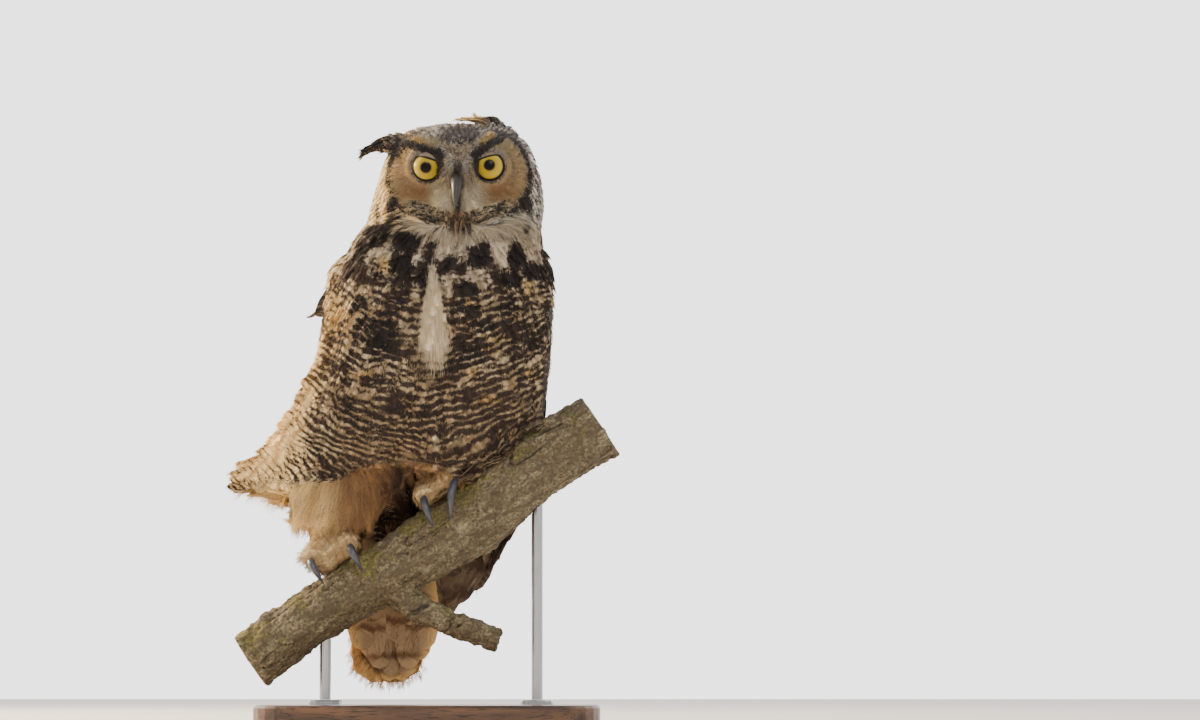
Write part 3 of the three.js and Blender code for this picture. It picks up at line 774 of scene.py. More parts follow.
# ---------------------------------------------------------------------------- breast and belly
# Body feathers lie over one another from the throat down, each a soft blade about 35 mm long
# with loose barbs round its tip. Each is rooted in the skin and rises to the coat's outer face.
PATCH = 0.003  # size of one feather's place in the baked colours
CAMBER = 0.12  # how far each edge drops, for each unit of half width
MANTLE_BARS = 5.5  # mm between the bars at each tip on the back and the wing coverts


def oriented(points, faces):
    """The faces of closed bits of a feather, turned so that each bit's faces look outwards."""
    turned = []
    for bit in faces:
        corners = points[np.array(bit)]
        a, b, c = (corners - corners.reshape(-1, 3).mean(axis=0)).swapaxes(0, 1)
        volume = np.einsum("ij,ij->i", np.cross(a, b), c).sum()
        turned += [face if volume > 0 else face[::-1] for face in bit]
    return np.array(turned)


# A blade's outline: how far along it each row is, and the half width there.
BODY_ROWS = ((0, 0.3), (0.35, 0.75), (0.66, 0.86), (0.84, 0.66), (0.92, 0.36))
BARBS_END = 0.94  # how far along a feather its last barb starts


def feather_shape(seed, blade=True, barbs=18, length=7.0, base=0.9, size=(36.0, 20.0), first=0.35,
                  rows=BODY_ROWS, slant=(10, 32)):
    """One feather, as points across (in half widths), along (0 to 1) and up (in mm), with its
    closed bits' faces: a thin blade, and loose barbs that leave its edge over the outer part."""
    random = np.random.default_rng(seed)
    points, faces = [], []
    outline = np.array([*rows, (1, 0)]).T
    if blade:
        for along, half in rows:
            points += [(-half, along, -0.1), (0, along, 0.4), (half, along, -0.1), (0, along, -0.3)]
        points.append((0, min(rows[-1][0] + 0.05, 1), 0))
        bit = [(0, 2, 1), (0, 3, 2)]
        last = 4 * len(rows) - 4
        for row in range(0, last, 4):
            for i in range(4):
                j = (i + 1) % 4
                bit += [(row + i, row + j, row + 4 + j), (row + i, row + 4 + j, row + 4 + i)]
        bit += [(last + i, last + (i + 1) % 4, last + 4) for i in range(4)]
        faces.append(bit)
    for number in range(barbs):
        along = first + (BARBS_END - first) * (number + random.random()) / barbs
        half = np.interp(along, *outline)
        across = (1 if number % 2 else -1) * half * math.sqrt(random.uniform(0.02, 0.9))
        if not blade:
            across = random.uniform(-1, 1) * max(half, 0.3)
        reach = length * random.uniform(0.7, 1.3)
        turn = math.radians(random.uniform(*slant)) * (1 if across > 0 else -1)
        units = np.array([size[1] / 2, size[0]])
        step = np.array([math.sin(turn), math.cos(turn)]) * reach / units
        aside = np.array([math.cos(turn), -math.sin(turn)]) * base / 2 / units
        up = random.uniform(0.0, 0.8) * base
        start = (across, along) - step * 0.25
        end = (across, along) + step * 0.75
        points += [
            (*(start - aside), up - 0.2 * base), (*(start + aside), up - 0.2 * base),
            (*start, up + 0.4 * base), (*end, up + random.uniform(-0.4, 0.8) * base),
        ]
        a, b, c, d = range(len(points) - 4, len(points))
        faces.append([(a, b, c), (a, d, b), (b, d, c), (c, d, a)])
    points = np.array(points, dtype=float)
    return points, oriented(points * (size[1] / 2, size[0], 1), faces)


def feather_shapes(count, **form):
    return [feather_shape(seed, **form) for seed in range(count)]


def hair_shapes(count, barbs, length, base, size, slant):
    """Loose barbs alone, from the root on."""
    return feather_shapes(
        count, blade=False, barbs=barbs, length=length, base=base, size=size, first=0, slant=slant
    )


def spread(chosen, spacing, seed):
    """Skin points out of those chosen, at least a spacing apart in mm."""
    tree = KDTree(len(skin_points))
    for index in np.flatnonzero(chosen):
        tree.insert(skin_points[index], index)
    tree.balance()
    spacing = np.broadcast_to(spacing, len(skin_points)) * MM
    taken = np.zeros(len(skin_points), dtype=bool)
    kept = []
    for index in np.random.default_rng(seed).permutation(np.flatnonzero(chosen)):
        if taken[index]:
            continue
        kept.append(index)
        for _, near, _ in tree.find_range(skin_points[index], spacing[index]):
            taken[near] = True
    return np.array(kept)


def on_skin(points):
    """The nearest places on the skin, their normals and their faces."""
    places, normals, faces, _ = zip(*(skin_tree.find_nearest(point) for point in points))
    return np.array(places), np.array(normals), np.array(faces)


def walk(places, lie, lengths, steps, bend=40, free=30.0):
    """Each feather's line over the skin, and the way up along it. Where the skin turns away by
    more than a bend in degrees, the tip goes straight on, but by no more than a free length."""
    places, normals, _ = on_skin(places)
    line, ups, way = [places], [normals], None
    loose = np.zeros(len(places), dtype=bool)
    for _ in range(steps):
        wanted = lie(places)
        wanted = unit(wanted - normals * np.sum(wanted * normals, axis=1, keepdims=True))
        way = wanted if way is None else np.where(loose[:, None], way, unit(way * 0.5 + wanted))
        step = (lengths / steps)[:, None]
        short = np.minimum(step, np.reshape(free, (-1, 1)) * MM / steps)
        step = np.where(loose[:, None], short, step)
        ahead = places + way * step
        found, found_normals, _ = on_skin(ahead)
        straight = np.sum(found_normals * normals, axis=1) > math.cos(math.radians(bend))
        close = np.linalg.norm(found - ahead, axis=1) < step[:, 0] * 0.6
        loose |= ~(straight & close)
        places = np.where(loose[:, None], ahead, found)
        normals = np.where(loose[:, None], normals, unit(found_normals + normals))
        line.append(places)
        ups.append(normals)
    return np.stack(line, axis=1), np.stack(ups, axis=1)


def grow(name, roots, lie, shapes, lengths, widths, lift, markings, seed, jitter=1.5,
         steps=6, bend=40, free=30.0, ruffle=0.35, vary=1.0, lines=None, shift=0.11, bars=None,
         material=feather_matt):
    """A coat of feathers in one mesh, from roots among the skin's points or along given lines.
    Lengths, widths, the lift at root and tip, and the spacing of the bars from each feather's
    own tip, if it has its own, are in mm."""
    random = np.random.default_rng(seed)
    places = lines[0][:, 0] if lines else skin_points[roots]
    count = len(places)
    lengths = lengths * random.uniform(1 - 0.18 * vary, 1 + 0.15 * vary, count)
    widths = widths * random.uniform(1 - 0.12 * vary, 1 + 0.1 * vary, count)
    low, high = (np.broadcast_to(value, count) for value in lift)
    places = places + random.normal(0, jitter * MM, (count, 3))
    faces_under = on_skin(places)[2]
    line, ups = lines or walk(places, lie, lengths * MM, steps, bend, free)
    steps = line.shape[1] - 1
    forward = unit(np.gradient(line, axis=1))
    sides = unit(np.cross(forward, ups))
    ups = unit(np.cross(sides, forward))
    yaw, roll = random.normal(0, 0.1 * vary, (2, count))
    raised = random.normal(0, ruffle, count)
    kinds = random.integers(0, len(shapes), count)
    tufts = random.random(count)
    shifts = random.normal(0, shift, count)
    arches = random.normal(-0.12, shift, count)
    collected = [], [], [], [], [], []
    offset = 0
    for kind, (shape, faces) in enumerate(shapes):
        of_kind = np.flatnonzero(kinds == kind)
        across, along, up = shape.T
        spot = np.clip(along, 0, 1) * steps
        cell = np.minimum(spot.astype(int), steps - 1)
        part = (spot - cell)[None, :, None]
        beyond = np.maximum(along - 1, 0)[None, :, None] * lengths[of_kind, None, None] * MM

        def between(values):
            values = values[of_kind]
            return values[:, cell] * (1 - part) + values[:, cell + 1] * part

        width = widths[of_kind, None] / 2
        aside = across * width + yaw[of_kind, None] * along * lengths[of_kind, None]
        height = low[of_kind, None] + (high - low)[of_kind, None] * along + raised[of_kind, None]
        height = height + up - CAMBER * across**2 * width + roll[of_kind, None] * across * width
        points = between(line) + between(forward) * beyond
        points += between(sides) * aside[:, :, None] * MM
        points += between(ups) * height[:, :, None] * MM
        barb = along * lengths[of_kind, None] - 0.8 * np.abs(across) * width
        tuft = tufts[of_kind, None] + 7 * np.arange(len(of_kind))[:, None] % 97
        vane = columns(barb * 0.9, across * 1.2, tuft)
        centre = face_unwrap[faces_under[of_kind]][:, None]
        uv = centre + PATCH * columns(across * 0.45, along - 0.5)
        from_tip = (1 - np.minimum(along, 1)) * lengths[of_kind, None]
        starts = offset + np.arange(len(of_kind)) * len(shape)
        offset += len(of_kind) * len(shape)
        made = (
            points.reshape(-1, 3), (faces[None] + starts[:, None, None]).reshape(-1, 3),
            uv.reshape(-1, 2), vane.reshape(-1, 3),
            (shifts[of_kind, None] + arches[of_kind, None] * across**2).reshape(-1, 1),
            (from_tip / (bars or 1) + 0.35 * across**2).reshape(-1, 1),
        )
        for so_far, more in zip(collected, made):
            so_far.append(more)
    points, faces, uv, vane, shifted, own_bars = map(np.concatenate, collected)
    coat = new_object(name, points, faces)
    layer = coat.data.uv_layers.new(name="OFBake")
    layer.data.foreach_set("uv", np.clip(uv[faces.ravel()], 0, 1).astype(np.float32).ravel())
    values = [np.reshape(v, (len(points), -1)) for v in markings(points)]
    values[3] = (own_bars if bars else values[3]) + shifted
    paint(coat, values + [vane])
    coat.data.materials.append(material)
    select_only(coat)
    bpy.ops.object.shade_smooth_by_angle(angle=math.radians(130))
    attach(coat, "root")


def of_parts(*parts):
    """Which skin points belong to parts of the body."""
    return np.isin(skin_part, [i for i, node in enumerate(FLESH) if node.split("_")[0] in parts])


def body_lie(points):
    x, _, z = (points / MM).T
    return columns(body_lean(x, z)[0], 0, -1)


BODY_SHAPES = feather_shapes(4, barbs=44, length=7.5, base=0.75, size=(34, 16), first=0.5)
skin_x, skin_y, skin_z = (skin_points / MM).T
in_front = skin_normals[:, 1] < 0.15
beneath = (skin_x < -85) & (skin_z < 222) & (skin_z > 180) & (skin_normals[:, 2] < -0.25)
flank = (skin_normals[:, 1] < 0.45) & (on_flank(skin_points / MM) > 0.5)
flank = of_parts("wing") & (flank | beneath)
on_body = of_parts("trunk") | flank
low_down = skin_z < 300
above_hem = skin_z - hem(skin_x)
in_front |= flank
over_leg = on_body & in_front & (above_hem < 7) & ((skin_y < 44) | beneath)
for name, where, spacing in (
    ("breast_feathers", in_front & ~low_down, 5.6),
    ("belly_feathers", in_front & low_down, 5.6),
    ("back_feathers", ~in_front, 8.0),
):
    roots = spread(on_body & where & ~over_leg, spacing, 1)
    height = skin_z[roots]
    length = np.interp(height, [190, 260, 420], [32, 35, 28])
    if name == "belly_feathers":
        lean = np.abs(body_lean(skin_x[roots], height)[0])
        length = np.minimum(length, np.maximum(above_hem[roots] + 5, 11) * np.hypot(lean, 1))
    grow(
        name, roots, body_lie, BODY_SHAPES, length,
        np.interp(height, [190, 300, 420], [14, 16, 14]), (0.9, skin_depth[roots] * 0.95),
        neck_markings, 11, free=14,
        shift=0.35 if name == "back_feathers" else 0.17,
        bars=MANTLE_BARS if name == "back_feathers" else None,
    )

# Long loose plumes, white like combed cotton, lie over the breast's middle.
PLUME_SHAPES = hair_shapes(4, 26, 15, 0.42, (20, 8), (0, 5))
inside = streak_inside(skin_x, skin_z)
roots = spread(of_parts("trunk") & in_front & (inside > -1) & (skin_z > 324), 3.4, 26)
grow(
    "breast_plumes", roots, body_lie, PLUME_SHAPES, 19, 8, (3.0, 6.6), body_markings,
    27, steps=4, free=10, ruffle=0.25,
)


# --------------------------------------------------------------------------------- head coat
# Small soft feathers lie back from the face over the crown, sides and nape. The facial discs
# are hair-like feathers that fan out from each eye, and bristles hide the bill's root.
across, up, back = face_place(skin_points)
u = np.abs(across)
on_head = of_parts("head", "neck")
on_disc = (disc_distance(across, up) < 45) & (back < 26) & (up - 0.25 * u < 21)
on_chin = (u < 58) & (up < -22) & (up > -60) & (back < 22) & ~on_disc
from_eye = np.min([np.linalg.norm(skin_points - eye, axis=1) for eye in EYES], axis=0) / MM
clear = from_eye > EYE_RADIUS / MM + 0.8


def head_lie(points):
    """Away from the face, then down the sides and the nape."""
    across, up, back = face_place(points)
    u = np.abs(across)
    away = columns(across, back + 20, up + 8)
    down = columns(across * 0.3, 8, -45)
    low = np.maximum(fade(up, 24, -6), fade(back, 55, 80)) * fade(u, 12, 34)
    low = np.maximum(low, fade(up, -34, -46))[:, None]
    return unit(away) * (1 - low) + unit(down) * low


def face_lie(points):
    """Out from each eye over its disc, up between the eyes, and like a moustache on the chin."""
    across, up, _ = face_place(points)
    u, side = np.abs(across), np.sign(across)
    out = unit(columns(side * (u - EYE_ASIDE), 0, up))
    fan = unit(columns(across * 1.2, 0, up + 7))
    near_middle = fade(u, 17, 9)[:, None]
    chin = fade(up, -20, -30)[:, None]
    outwards = fade(u, 6, 19)
    rise = np.interp(u, [0, 22, 38, 56], [0.1, 0.5, 0.05, -0.5]) * outwards
    aside = unit(columns(side * outwards, 0, rise + outwards - 1))
    below = fade(up, -50, -62)[:, None]
    aside = aside * (1 - below) + unit(columns(across * 0.4, 0, -30)) * below
    return (out * (1 - near_middle) + fan * near_middle) * (1 - chin) + aside * chin


HEAD_SHAPES = feather_shapes(4, barbs=22, length=4.2, base=0.42, size=(13, 5.5), slant=(4, 22))
FACE_SHAPES = hair_shapes(4, 17, 5, 0.34, (7, 3.4), (2, 16))
CHIN_SHAPES = hair_shapes(4, 12, 8, 0.42, (12, 2.6), (1, 10))
roots = spread(of_parts("head") & ~on_disc & ~on_chin & clear, 3.3, 2)
grow(
    "head_feathers", roots, head_lie, HEAD_SHAPES,
    np.interp(skin_y[roots], [-50, 10, 60], [8.5, 12, 16]),
    np.interp(skin_y[roots], [-50, 10, 60], [4.5, 5.5, 7]), (0.5, skin_depth[roots] * 0.85),
    head_markings, 12, jitter=0.8, ruffle=0.2, free=3, material=face_matt,
)
roots = spread(on_head & on_disc & clear, 1.9, 3)
grow(
    "face_hairs", roots, face_lie, FACE_SHAPES, 7.0, 3.4, (0.2, 1.2), head_markings,
    13, jitter=0.8, ruffle=0.15, steps=3, free=2, material=face_matt,
)
roots = spread(on_head & on_chin & ~((u < 5) & (up > -40)), np.where(u < 18, 1.25, 1.6), 21)
grow(
    "chin_feathers", roots, face_lie, CHIN_SHAPES, 12.0, 2.6,
    (0.5, skin_depth[roots] * 0.8 + 0.4), neck_markings, 22, jitter=0.8,
    ruffle=0.3, steps=4, free=np.where(u[roots] < 16, 1.0, 4.0), material=chin_matt,
)
roots = spread(of_parts("neck") & ~on_chin & ~on_disc, 5.0, 4)
grow(
    "neck_feathers", roots, head_lie, BODY_SHAPES, 21, 11, (0.8, skin_depth[roots] * 0.9),
    neck_markings, 14, material=face_matt,
)


def bristle_lie(points):
    """Down over the bill's sides, and forwards."""
    return columns(face_place(points)[0] * 0.5, -7, -12)


BRISTLE_SHAPES = hair_shapes(3, 9, 9, 0.36, (13, 3), (1, 12))
roots = spread(on_head & (u < 13) & (up < 5) & (up > -17) & (back < 0), 1.3, 23)
over_bill = 3.5 * fade(u[roots], 7, 2) * fade(up[roots], -8, -2)
grow(
    "bill_bristles", roots, bristle_lie, BRISTLE_SHAPES, 14.0, 3.0, (0.4, 3.5 + over_bill),
    head_markings, 24, jitter=0.6, steps=3, bend=20, material=face_matt,
)

# The ear tufts: many short narrow feathers that lie close, all one way, and end in wisps.
TUFT_WAYS = {"ear_tuft_right": (-0.9, -0.05, -0.44), "ear_tuft_left": (-0.97, 0, 0.2)}
TUFT_SHAPES = feather_shapes(
    3, barbs=18, length=8, base=0.6, size=(20, 6), first=0.4, slant=(3, 14)
)
by_tuft = of_parts("head") & (across > -62) & (across < -45) & (up > 16) & (up < 31) & (back < 22)
for node, way in TUFT_WAYS.items():
    chosen = skin_part == FLESH.index(node)
    roots = spread(chosen | by_tuft if way[2] < 0 else chosen, 2.4, 5)
    grow(
        node + "_feathers", roots, lambda p: np.broadcast_to(way, p.shape), TUFT_SHAPES, 16, 4.5,
        (0.2, 0.8), ear_markings, 15, jitter=0.6, bend=60, free=6, ruffle=0.15,
        material=face_matt,
    )

# The left tuft's longest feathers rise and curl over towards the crown.
CREST = 72  # how many
CREST_ROOT = 66.0  # X of their roots, in mm
CREST_FOOT = 527.0  # Z of their roots
CREST_REACH, CREST_RISE = 43.0, 15.5  # how far the longest goes over, and up
CREST_SHAPES = feather_shapes(
    3, barbs=26, length=10, base=0.6, size=(46, 7), first=0.2, slant=(2, 10)
)
random = np.random.default_rng(51)
reach = 0.25 + 0.75 * random.random(CREST) ** 1.5
low, high = (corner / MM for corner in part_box("ear_tuft_left"))
arc = np.linspace(0, 1, 7)
over = CREST_REACH * reach[:, None] * np.sin(arc * 1.5) ** 1.3
line = MM * columns(
    CREST_ROOT - over + random.uniform(-3, 3, (CREST, 1)),
    np.interp(random.random((CREST, 1)), (0, 1), (low.y + 3, high.y - 3)),
    CREST_FOOT + CREST_RISE * np.sin(arc * 2.1) * random.uniform(0.8, 1.0, (CREST, 1)),
)
grow(
    "ear_crest_left", None, None, CREST_SHAPES, 45 * reach, 8, (0.0, 0.0), ear_markings,
    52, vary=0.3, jitter=0, ruffle=0.3,
    lines=(line, np.broadcast_to((0.0, 0.0, 1.0), line.shape)), material=face_matt,
)


# ------------------------------------------------------------------------------ wings and tail
# Coverts overlap down each folded wing like tiles, over long stiff flight feathers with a shaft
# down the middle. The tail's eleven feathers lie in a narrow fan.
COVERT_SHAPES = feather_shapes(4, barbs=12, length=6, base=1.0, size=(48, 24), first=0.5)
QUILL_ROWS = (
    (0, 0.2), (0.12, 0.7), (0.3, 0.95), (0.55, 1.0), (0.78, 0.95), (0.9, 0.75), (0.97, 0.4),
)
BROAD_ROWS = ((0, 0.3), (0.3, 0.9), (0.6, 1.0), (0.84, 0.97), (0.93, 0.8), (0.985, 0.45))
BROAD_SHAPES = feather_shapes(
    3, barbs=26, length=5, base=0.6, size=(75, 34), first=0.75, rows=BROAD_ROWS
)
QUILL_SHAPES = feather_shapes(
    3, barbs=6, length=6, base=0.9, size=(160, 26), first=0.7, rows=QUILL_ROWS
)
WING_TIPS = (-82, 4)  # X of the right and left wing's tips, in mm
TIP_LOW = 85  # Z that the flight feathers below the body point at, in mm


def wing_lie(points):
    """Down and back, and below the body towards the folded wing's tip."""
    x, _, z = (points / MM).T
    down = columns(0.12 * (x + 25) / 100, 0.12, -1)
    to_tip = unit(columns(np.where(x < -35, *WING_TIPS) - x, 0, TIP_LOW - z))
    low = fade(z, 230, 170)[:, None]
    return down * (1 - low) + to_tip * low


on_wing = of_parts("wing") & ~flank
roots = spread(on_wing & (skin_z > 175), 8.5, 6)
height = skin_z[roots]
length = np.interp(height, [200, 300, 420], [56, 50, 30])
above_flank = np.minimum(length, np.maximum(height - 196, 8) + 8)
length = np.where(skin_x[roots] < -85, above_flank, length)
grow(
    "wing_coverts", roots, wing_lie, COVERT_SHAPES, length,
    np.interp(height, [200, 300, 420], [24, 22, 15]), (0.8, 3.0), wing_markings,
    16, free=np.interp(height, [220, 330], [2, 10]), bend=60, bars=MANTLE_BARS, shift=0.35,
)
low_wing = (skin_z > 108) & ((skin_x > -100) | (skin_z < 185))
roots = spread(on_wing & low_wing & (skin_z < 300), 9, 7)
height = skin_z[roots]
grow(
    "flight_feathers", roots, wing_lie, QUILL_SHAPES,
    np.interp(height, [108, 130, 300], [18, 40, 130]),
    np.interp(height, [110, 150, 220], [9, 13, 24]), (0.3, 1.4), quill_markings,
    17, vary=0.3, ruffle=0.12, steps=8, free=4, bend=75,
)

TAIL_STEPS = 8  # steps along each tail feather's line
TAIL_FAN = 30  # mm that the outermost feathers end above the middle one
fan = np.array([0, 1, -1, 2, -2, 3, -3, 4, -4, 5, -5]) / 5
down = np.linspace(0, 1, TAIL_STEPS + 1)
tail_low, tail_high = (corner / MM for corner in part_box("tail"))
tail_top = tail_high.z - 4
tail_tips = tail_low.z + 1 + TAIL_FAN * np.abs(fan) ** 1.7
fan_line = columns(
    TAIL_MIDDLE + fan[:, None] * (12 + 16 * np.sin(2.1 * down)),
    (tail_high.y - 3) - 13 * np.abs(fan)[:, None],
    tail_top - (tail_top - tail_tips[:, None]) * down,
)

# Five broad coverts lie under the tail's root, each with its round tip at another height.
COVERT_LENGTH = 75  # mm
aside = np.array([-22, 19, -10, 9, 1])
covert_tips = np.array([92, 88, 76, 72, 104])
covert_line = columns(
    TAIL_MIDDLE + aside[:, None],
    (tail_high.y - 5 - 0.46 * np.abs(aside) - 0.7 * np.arange(5))[:, None],
    covert_tips[:, None] + COVERT_LENGTH * (1 - down),
)
for name, line, length, width, seed in (
    ("tail_feathers", fan_line, tail_top - tail_tips, 26, 18),
    ("tail_coverts", covert_line, COVERT_LENGTH, 36, 25),
):
    grow(
        name, None, None, BROAD_SHAPES, length, width, (0.0, 0.0), tail_markings,
        seed, vary=0.3, jitter=0, ruffle=0.2,
        lines=(line * MM, np.broadcast_to((0.0, -1.0, 0.0), line.shape)),
    )

# Down like fine hair stands out round the tail's edge.
EDGE_SHAPES = hair_shapes(3, 12, 8, 0.32, (10, 4), (4, 20))


def tail_edge_lie(points):
    """Down, and out from the tail's middle."""
    return columns(0.6 * (points[:, 0] / MM - TAIL_MIDDLE) / 38, 0, -1)


tail_edge = tail_edge_place(skin_x, skin_z)
roots = spread(of_parts("tail") & (tail_edge > 0.8) & (skin_z < 130), 2.2, 8)
grow(
    "tail_down", roots, tail_edge_lie, EDGE_SHAPES, 9, 4, (0.6, 1.6), tail_markings,
    28, steps=3, free=6, bend=40, material=face_matt,
)


# -------------------------------------------------------------------------------- legs and toes
# Down like fine fur covers the legs, and shorter down the toes as far as the claws.
def leg_lie(points):
    """Down, and outwards at the outer side."""
    return columns(np.clip((points[:, 0] / MM + 62) / 75, -0.9, 0.25), -0.15, -1)


def toe_lie(points):
    """Along the toes, forwards and down."""
    return columns(np.where(points[:, 0] / MM < -40, -0.5, -0.1), -0.6, -0.7)


LEG_SHAPES = hair_shapes(4, 24, 12, 0.42, (18, 6), (1, 12))
TOE_SHAPES = hair_shapes(4, 12, 5, 0.32, (7, 3), (1, 12))
roots = spread(of_parts("thigh") | over_leg, 3.2, 9)
grow(
    "leg_down", roots, leg_lie, LEG_SHAPES, 19, 6, (0.6, skin_depth[roots] * 0.7), leg_markings,
    19, jitter=1, steps=4, free=8, ruffle=0.5, material=face_matt,
)
roots = spread(of_parts("foot"), 2.2, 10)
grow(
    "toe_down", roots, toe_lie, TOE_SHAPES, 6.5, 3, (0.4, skin_depth[roots] * 0.75), toe_markings,
    20, jitter=0.8, steps=3, free=2, ruffle=0.15,
)


# --------------------------------------------------------------------------------------- eyes
# Each eye is a glass ball, painted behind: black pupil, yellow iris with a dark edge. It turns
# to look at the viewer, and its clear front bulges a little.
GAZE = {"eye_right": (-0.02, -1, -0.11), "eye_left": (-0.04, -1, 0.04)}
PUPIL, IRIS, PAINTED = 4.1, 11.7, 14.0  # radii in mm, the last of the whole painted disc

# Glass with a glossy front over yellow paint.
eye_glass, tree = new_material("painted_glass_eye")
from_pupil = add_node(tree, "Attribute", attribute_name="from_pupil").outputs["Fac"]
rays = add_node(
    tree, "TexNoise",
    {"Vector": add_node(tree, "TexCoord").outputs["Object"], "Scale": 900.0, "Detail": 3.0},
)
painted = add_node(tree, "Math", {0: rays, 1: 0.5, 2: from_pupil}, operation="MULTIPLY_ADD")
painted = add_node(tree, "MapRange", {"Value": painted, "From Min": 0.0, "From Max": PAINTED})
painting = add_node(tree, "ValToRGB", {"Fac": painted})
rings = painting.color_ramp.elements
for radius, code in (
    (PUPIL, "#050403"), (PUPIL + 0.5, "#6f5614"), (PUPIL + 1.6, "#ab8d25"), (IRIS - 2.6, "#b9a233"),
    (IRIS - 0.9, "#b79a2a"), (IRIS, "#1a130b"),
):
    rings.new((radius + 0.25) / PAINTED).color = (*tint(code), 1)
for end in (0, -1):
    rings[end].color = (*tint("#050403"), 1)
finish_material(
    tree,
    {
        "Base Color": painting.outputs["Color"], "Roughness": 0.3, "Specular IOR Level": 0.1,
        "Coat Weight": 0.14, "Coat Roughness": 0.02,
    },
)


def bulge(angle):
    """How much further out than a ball the eye stands, at degrees from its front."""
    return 1 + 0.07 * fade(angle, 52, 20)


for node, gaze in GAZE.items():
    low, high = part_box(node)
    centre = (low + high) / 2
    radius = (high.x - low.x) / 2
    bpy.ops.mesh.primitive_uv_sphere_add(segments=64, ring_count=48, radius=radius)
    ball = bpy.context.object
    ball.name = node + "_ball"
    places = points_of(ball.data)
    angle = np.degrees(np.arccos(np.clip(places[:, 2] / radius, -1, 1)))
    places *= bulge(angle)[:, None]
    turn = Vector((0, 0, 1)).rotation_difference(Vector(gaze))
    move_points(ball.data, [turn @ Vector(p) + centre for p in places])
    ball.data.shade_smooth()
    aside = np.sin(np.radians(np.minimum(angle, 90))) * radius / MM
    add_value(ball.data, "from_pupil", "FLOAT", aside)
    ball.data.materials.append(eye_glass)
    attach(ball, "root")
    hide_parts(node)


# ------------------------------------------------------------------------------------ eyelids
# A rim of bare dark skin round each eye, on lids that short feathers cover and that run out to
# the face. The upper lid comes down over the iris, which gives the owl its frown.
LID_OPENING = 11.6  # mm from the eye's middle to the lower lid's edge
LID_LINE = {"eye_right": 6.6, "eye_left": 8.2}  # mm from it up to the upper lid's edge
LID_RISE = 0.3  # how much the upper lid's edge rises outwards
LID_CORNER = 0.8  # mm that the opening's corners are rounded by
LID_FOOT = 10.6  # mm from the eye's middle that both lids reach their width beyond
LID_THICK = 0.7  # mm
LID_LIFT = 0.9  # mm from the lid's under side to its outer face
LID_WIDTH = (3.4, 4.2)  # mm, below and above
BALL_REACH = 13.0  # mm from the eye's middle to where the lid leaves the ball
BALL_SLOPE = 0.25  # how steeply it falls back beyond
SKIRT = 19.5  # mm from the eye's middle to where the lid's outer skin meets the face
LID_FEATHERS = 480  # short ones, on each eye's lids

# Skin: leathery, wrinkled, black at the edge and grey above.
lid_skin, tree = new_material("leathery_eyelid")
rim = add_node(tree, "Attribute", attribute_name="from_edge").outputs["Fac"]
folds = add_node(
    tree, "TexNoise",
    {"Vector": add_node(tree, "TexCoord").outputs["Object"], "Scale": 700.0, "Detail": 3.0},
)
rim = add_node(
    tree, "MapRange", {"Value": rim, "From Min": 1.3, "From Max": 2.3, "To Min": 0, "To Max": 0.9},
)
finish_material(
    tree,
    {
        "Base Color": add_node(
            tree, "Mix", {0: rim, 6: "#0d0a09", 7: "#85755f"}, data_type="RGBA",
        ).outputs[2],
        "Roughness": 0.7, "Specular IOR Level": 0.25,
    },
    folds, 0.0003, 0.6,
)


def skin_ahead(spot):
    """How far along Y the front of the skin is, at a place's X and Z."""
    return skin_tree.ray_cast((spot[0], -0.2, spot[2]), (0, 1, 0))[0].y


def lid_height(reach, radius):
    """How far forward of the eye's middle the lid's under side is, at a distance from it."""
    angle = np.degrees(np.arcsin(np.clip(reach / (radius + 0.8), 0, 1)))
    on_ball = (radius * bulge(angle)) ** 2 - np.minimum(reach, BALL_REACH) ** 2
    return np.sqrt(np.maximum(on_ball, 0)) - BALL_SLOPE * np.maximum(reach - BALL_REACH, 0)


